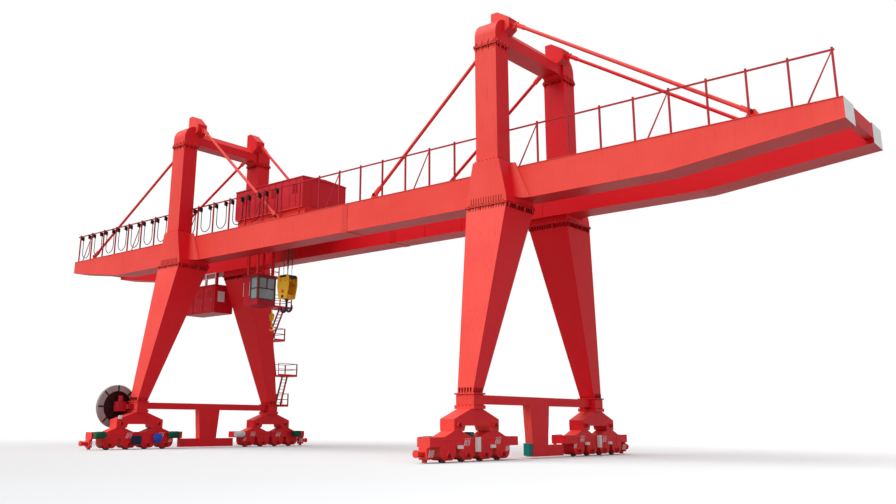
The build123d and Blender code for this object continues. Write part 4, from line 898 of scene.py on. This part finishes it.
class GANTRY_OT_stay_fittings(bpy.types.Operator):
    """Adds the stays' pin collars and the festoon rail's rollers"""
    bl_idname = "gantry.stay_fittings"
    bl_label = "Stay And Festoon Fittings"

    def execute(self, context):
        collars = bmesh.new()
        outer_reach, inner_reach = 14250, 10200
        lug_y, z = 2600, 16100
        for frame_x, outwards in ((LEFT_FRAME, -1), (RIGHT_FRAME, 1)):
            for way in SIDES:
                x = frame_x + way * (outer_reach if way == outwards else inner_reach)
                for side in SIDES:
                    for face in SIDES:
                        y = side * lug_y + face * 130
                        add_rod(collars, (x, y, z), (x, y + face * 22, z), 100, 16)
                        add_rod(collars, (x, y + face * 22, z), (x, y + face * 40, z), 45, 6)
        new_piece(collars, "stay_pin_collars", "structure", "bolt")
        rollers = bmesh.new()
        hanger_z = real(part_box("festoon_carriers"))[0][2]
        first_loop, loop_pitch = -32050, 1950
        rail_y, rail_z = -3020, 18030
        for index in range(14):
            for shift in (250, 1400):
                x = first_loop + index * loop_pitch + shift
                for face in SIDES:
                    y = rail_y + face * 52
                    add_rod(rollers, (x, y, rail_z), (x, y + face * 24, rail_z), 48, 14)
                add_block(rollers, (x - 60, -2920, hanger_z - 40), (x + 60, -2820, hanger_z), 6)
        new_piece(rollers, "festoon_rollers", "structure", "rubber")
        return {"FINISHED"}


class GANTRY_OT_stage(bpy.types.Operator):
    """Sets the floor, the light and the photograph's viewpoint"""
    bl_idname = "gantry.stage"
    bl_label = "Stage"

    def execute(self, context):
        scene = context.scene
        bm = bmesh.new()
        floor_radius = 160.0
        bmesh.ops.create_circle(bm, cap_ends=True, segments=96, radius=floor_radius)
        mesh = bpy.data.meshes.new("floor")
        bm.to_mesh(mesh)
        bm.free()
        floor = bpy.data.objects.new("floor", mesh)
        scene.collection.objects.link(floor)
        material, tree, place = start_material("pale_floor")
        # The view sees a floor that pales to plain white, and the crane gets the light of a grey one.
        spot = place.outputs["Object"]
        distance = add_node(tree, "ShaderNodeVectorMath", {"operation": "LENGTH"}, {0: spot})
        fade = remap(tree, distance.outputs["Value"], 14.0, 45.0)
        paint = mix_colours(tree, fade, linear_colour("E3E3E2"), linear_colour("FFFFFF"))
        pale = add_node(tree, "ShaderNodeBsdfDiffuse", {"Roughness": 0.9}, {"Color": paint})
        dull = add_node(tree, "ShaderNodeBsdfDiffuse", {"Color": linear_colour("C3C3C1"), "Roughness": 0.9})
        shaders = {0: seen_rays(tree), 1: dull.outputs["BSDF"], 2: pale.outputs["BSDF"]}
        mix = add_node(tree, "ShaderNodeMixShader", links=shaders)
        add_node(tree, "ShaderNodeOutputMaterial", links={"Surface": mix.outputs["Shader"]})
        mesh.materials.append(material)

        world = bpy.data.worlds.new("studio")
        world.use_nodes = True
        tree = world.node_tree
        tree.nodes.clear()
        light = add_node(tree, "ShaderNodeBackground", {"Color": linear_colour("F2F5FA"), "Strength": 0.55})
        white = add_node(tree, "ShaderNodeBackground", {"Color": (1, 1, 1, 1), "Strength": 1.0})
        shaders = {0: seen_rays(tree), 1: light.outputs["Background"], 2: white.outputs["Background"]}
        mix = add_node(tree, "ShaderNodeMixShader", links=shaders)
        add_node(tree, "ShaderNodeOutputWorld", links={"Surface": mix.outputs["Shader"]})
        scene.world = world

        sun = bpy.data.lights.new("soft_sun", "SUN")
        sun.energy = 2.75
        sun.angle = math.radians(70)
        lamp = bpy.data.objects.new("soft_sun", sun)
        scene.collection.objects.link(lamp)
        towards_sun = Vector((-0.2, -0.46, 0.865))
        lamp.matrix_world = towards_sun.to_track_quat("Z", "Y").to_matrix().to_4x4()

        camera = bpy.data.cameras.new("photo_view")
        camera.sensor_width = 36.0
        camera.lens = scene.crane_sizes.camera_lens
        camera.shift_x = 0.0247
        camera.shift_y = -0.0603
        camera.clip_end = 500.0
        viewpoint = bpy.data.objects.new("photo_view", camera)
        scene.collection.objects.link(viewpoint)
        # Where the photograph was taken from on the model, in metres, and how its camera was turned.
        eye = (21.0164, -21.2784, 0.9085)
        yaw, pitch, roll = (math.radians(value) for value in (40.196, 14.347, 0.172))
        look = Vector((-math.sin(yaw) * math.cos(pitch), math.cos(yaw) * math.cos(pitch), math.sin(pitch)))
        right = Vector((math.cos(yaw), math.sin(yaw), 0))
        up = right.cross(look)
        rolled_right = right * math.cos(roll) + up * math.sin(roll)
        rolled_up = up * math.cos(roll) - right * math.sin(roll)
        turn = Matrix((rolled_right, rolled_up, -look)).transposed().to_4x4()
        viewpoint.matrix_world = Matrix.Translation(eye) @ turn
        scene.camera = viewpoint
        scene.view_settings.view_transform = "Standard"
        return {"FINISHED"}


class GANTRY_PT_panel(bpy.types.Panel):
    """Lists the crane's sizes, its colours and the operators that build it"""
    bl_idname = "GANTRY_PT_panel"
    bl_label = "Gantry Crane"
    bl_space_type = "VIEW_3D"
    bl_region_type = "UI"
    bl_category = "Gantry Crane"

    def draw(self, context):
        layout = self.layout
        for group in (context.scene.crane_sizes, context.scene.crane_colours):
            column = layout.column(align=True)
            for name in group.bl_rna.properties.keys():
                if name not in ("rna_type", "name"):
                    column.prop(group, name)
        for builder in builders:
            layout.operator(builder.bl_idname)


builders = (
    GANTRY_OT_stage,
    GANTRY_OT_finishes,
    GANTRY_OT_bolts,
    GANTRY_OT_girder_fittings,
    GANTRY_OT_rail_clips,
    GANTRY_OT_drives,
    GANTRY_OT_truck_fittings,
    GANTRY_OT_cab_fittings,
    GANTRY_OT_house_fittings,
    GANTRY_OT_cabin_fittings,
    GANTRY_OT_block_fittings,
    GANTRY_OT_stair_fittings,
    GANTRY_OT_stay_fittings,
)
classes = (CraneSizes, CraneColours) + builders + (GANTRY_PT_panel,)


def register():
    """Registers the classes and hangs the settings on the scene."""
    for entry in classes:
        bpy.utils.register_class(entry)
    bpy.types.Scene.crane_sizes = PointerProperty(type=CraneSizes)
    bpy.types.Scene.crane_colours = PointerProperty(type=CraneColours)


def unregister():
    """Takes the settings and the classes away again."""
    del bpy.types.Scene.crane_colours
    del bpy.types.Scene.crane_sizes
    for entry in reversed(classes):
        bpy.utils.unregister_class(entry)


def main():
    """Builds every group of pieces."""
    register()
    for builder in builders:
        group, name = builder.bl_idname.split(".")
        getattr(getattr(bpy.ops, group), name)()


if __name__ == "__main__":
    main()
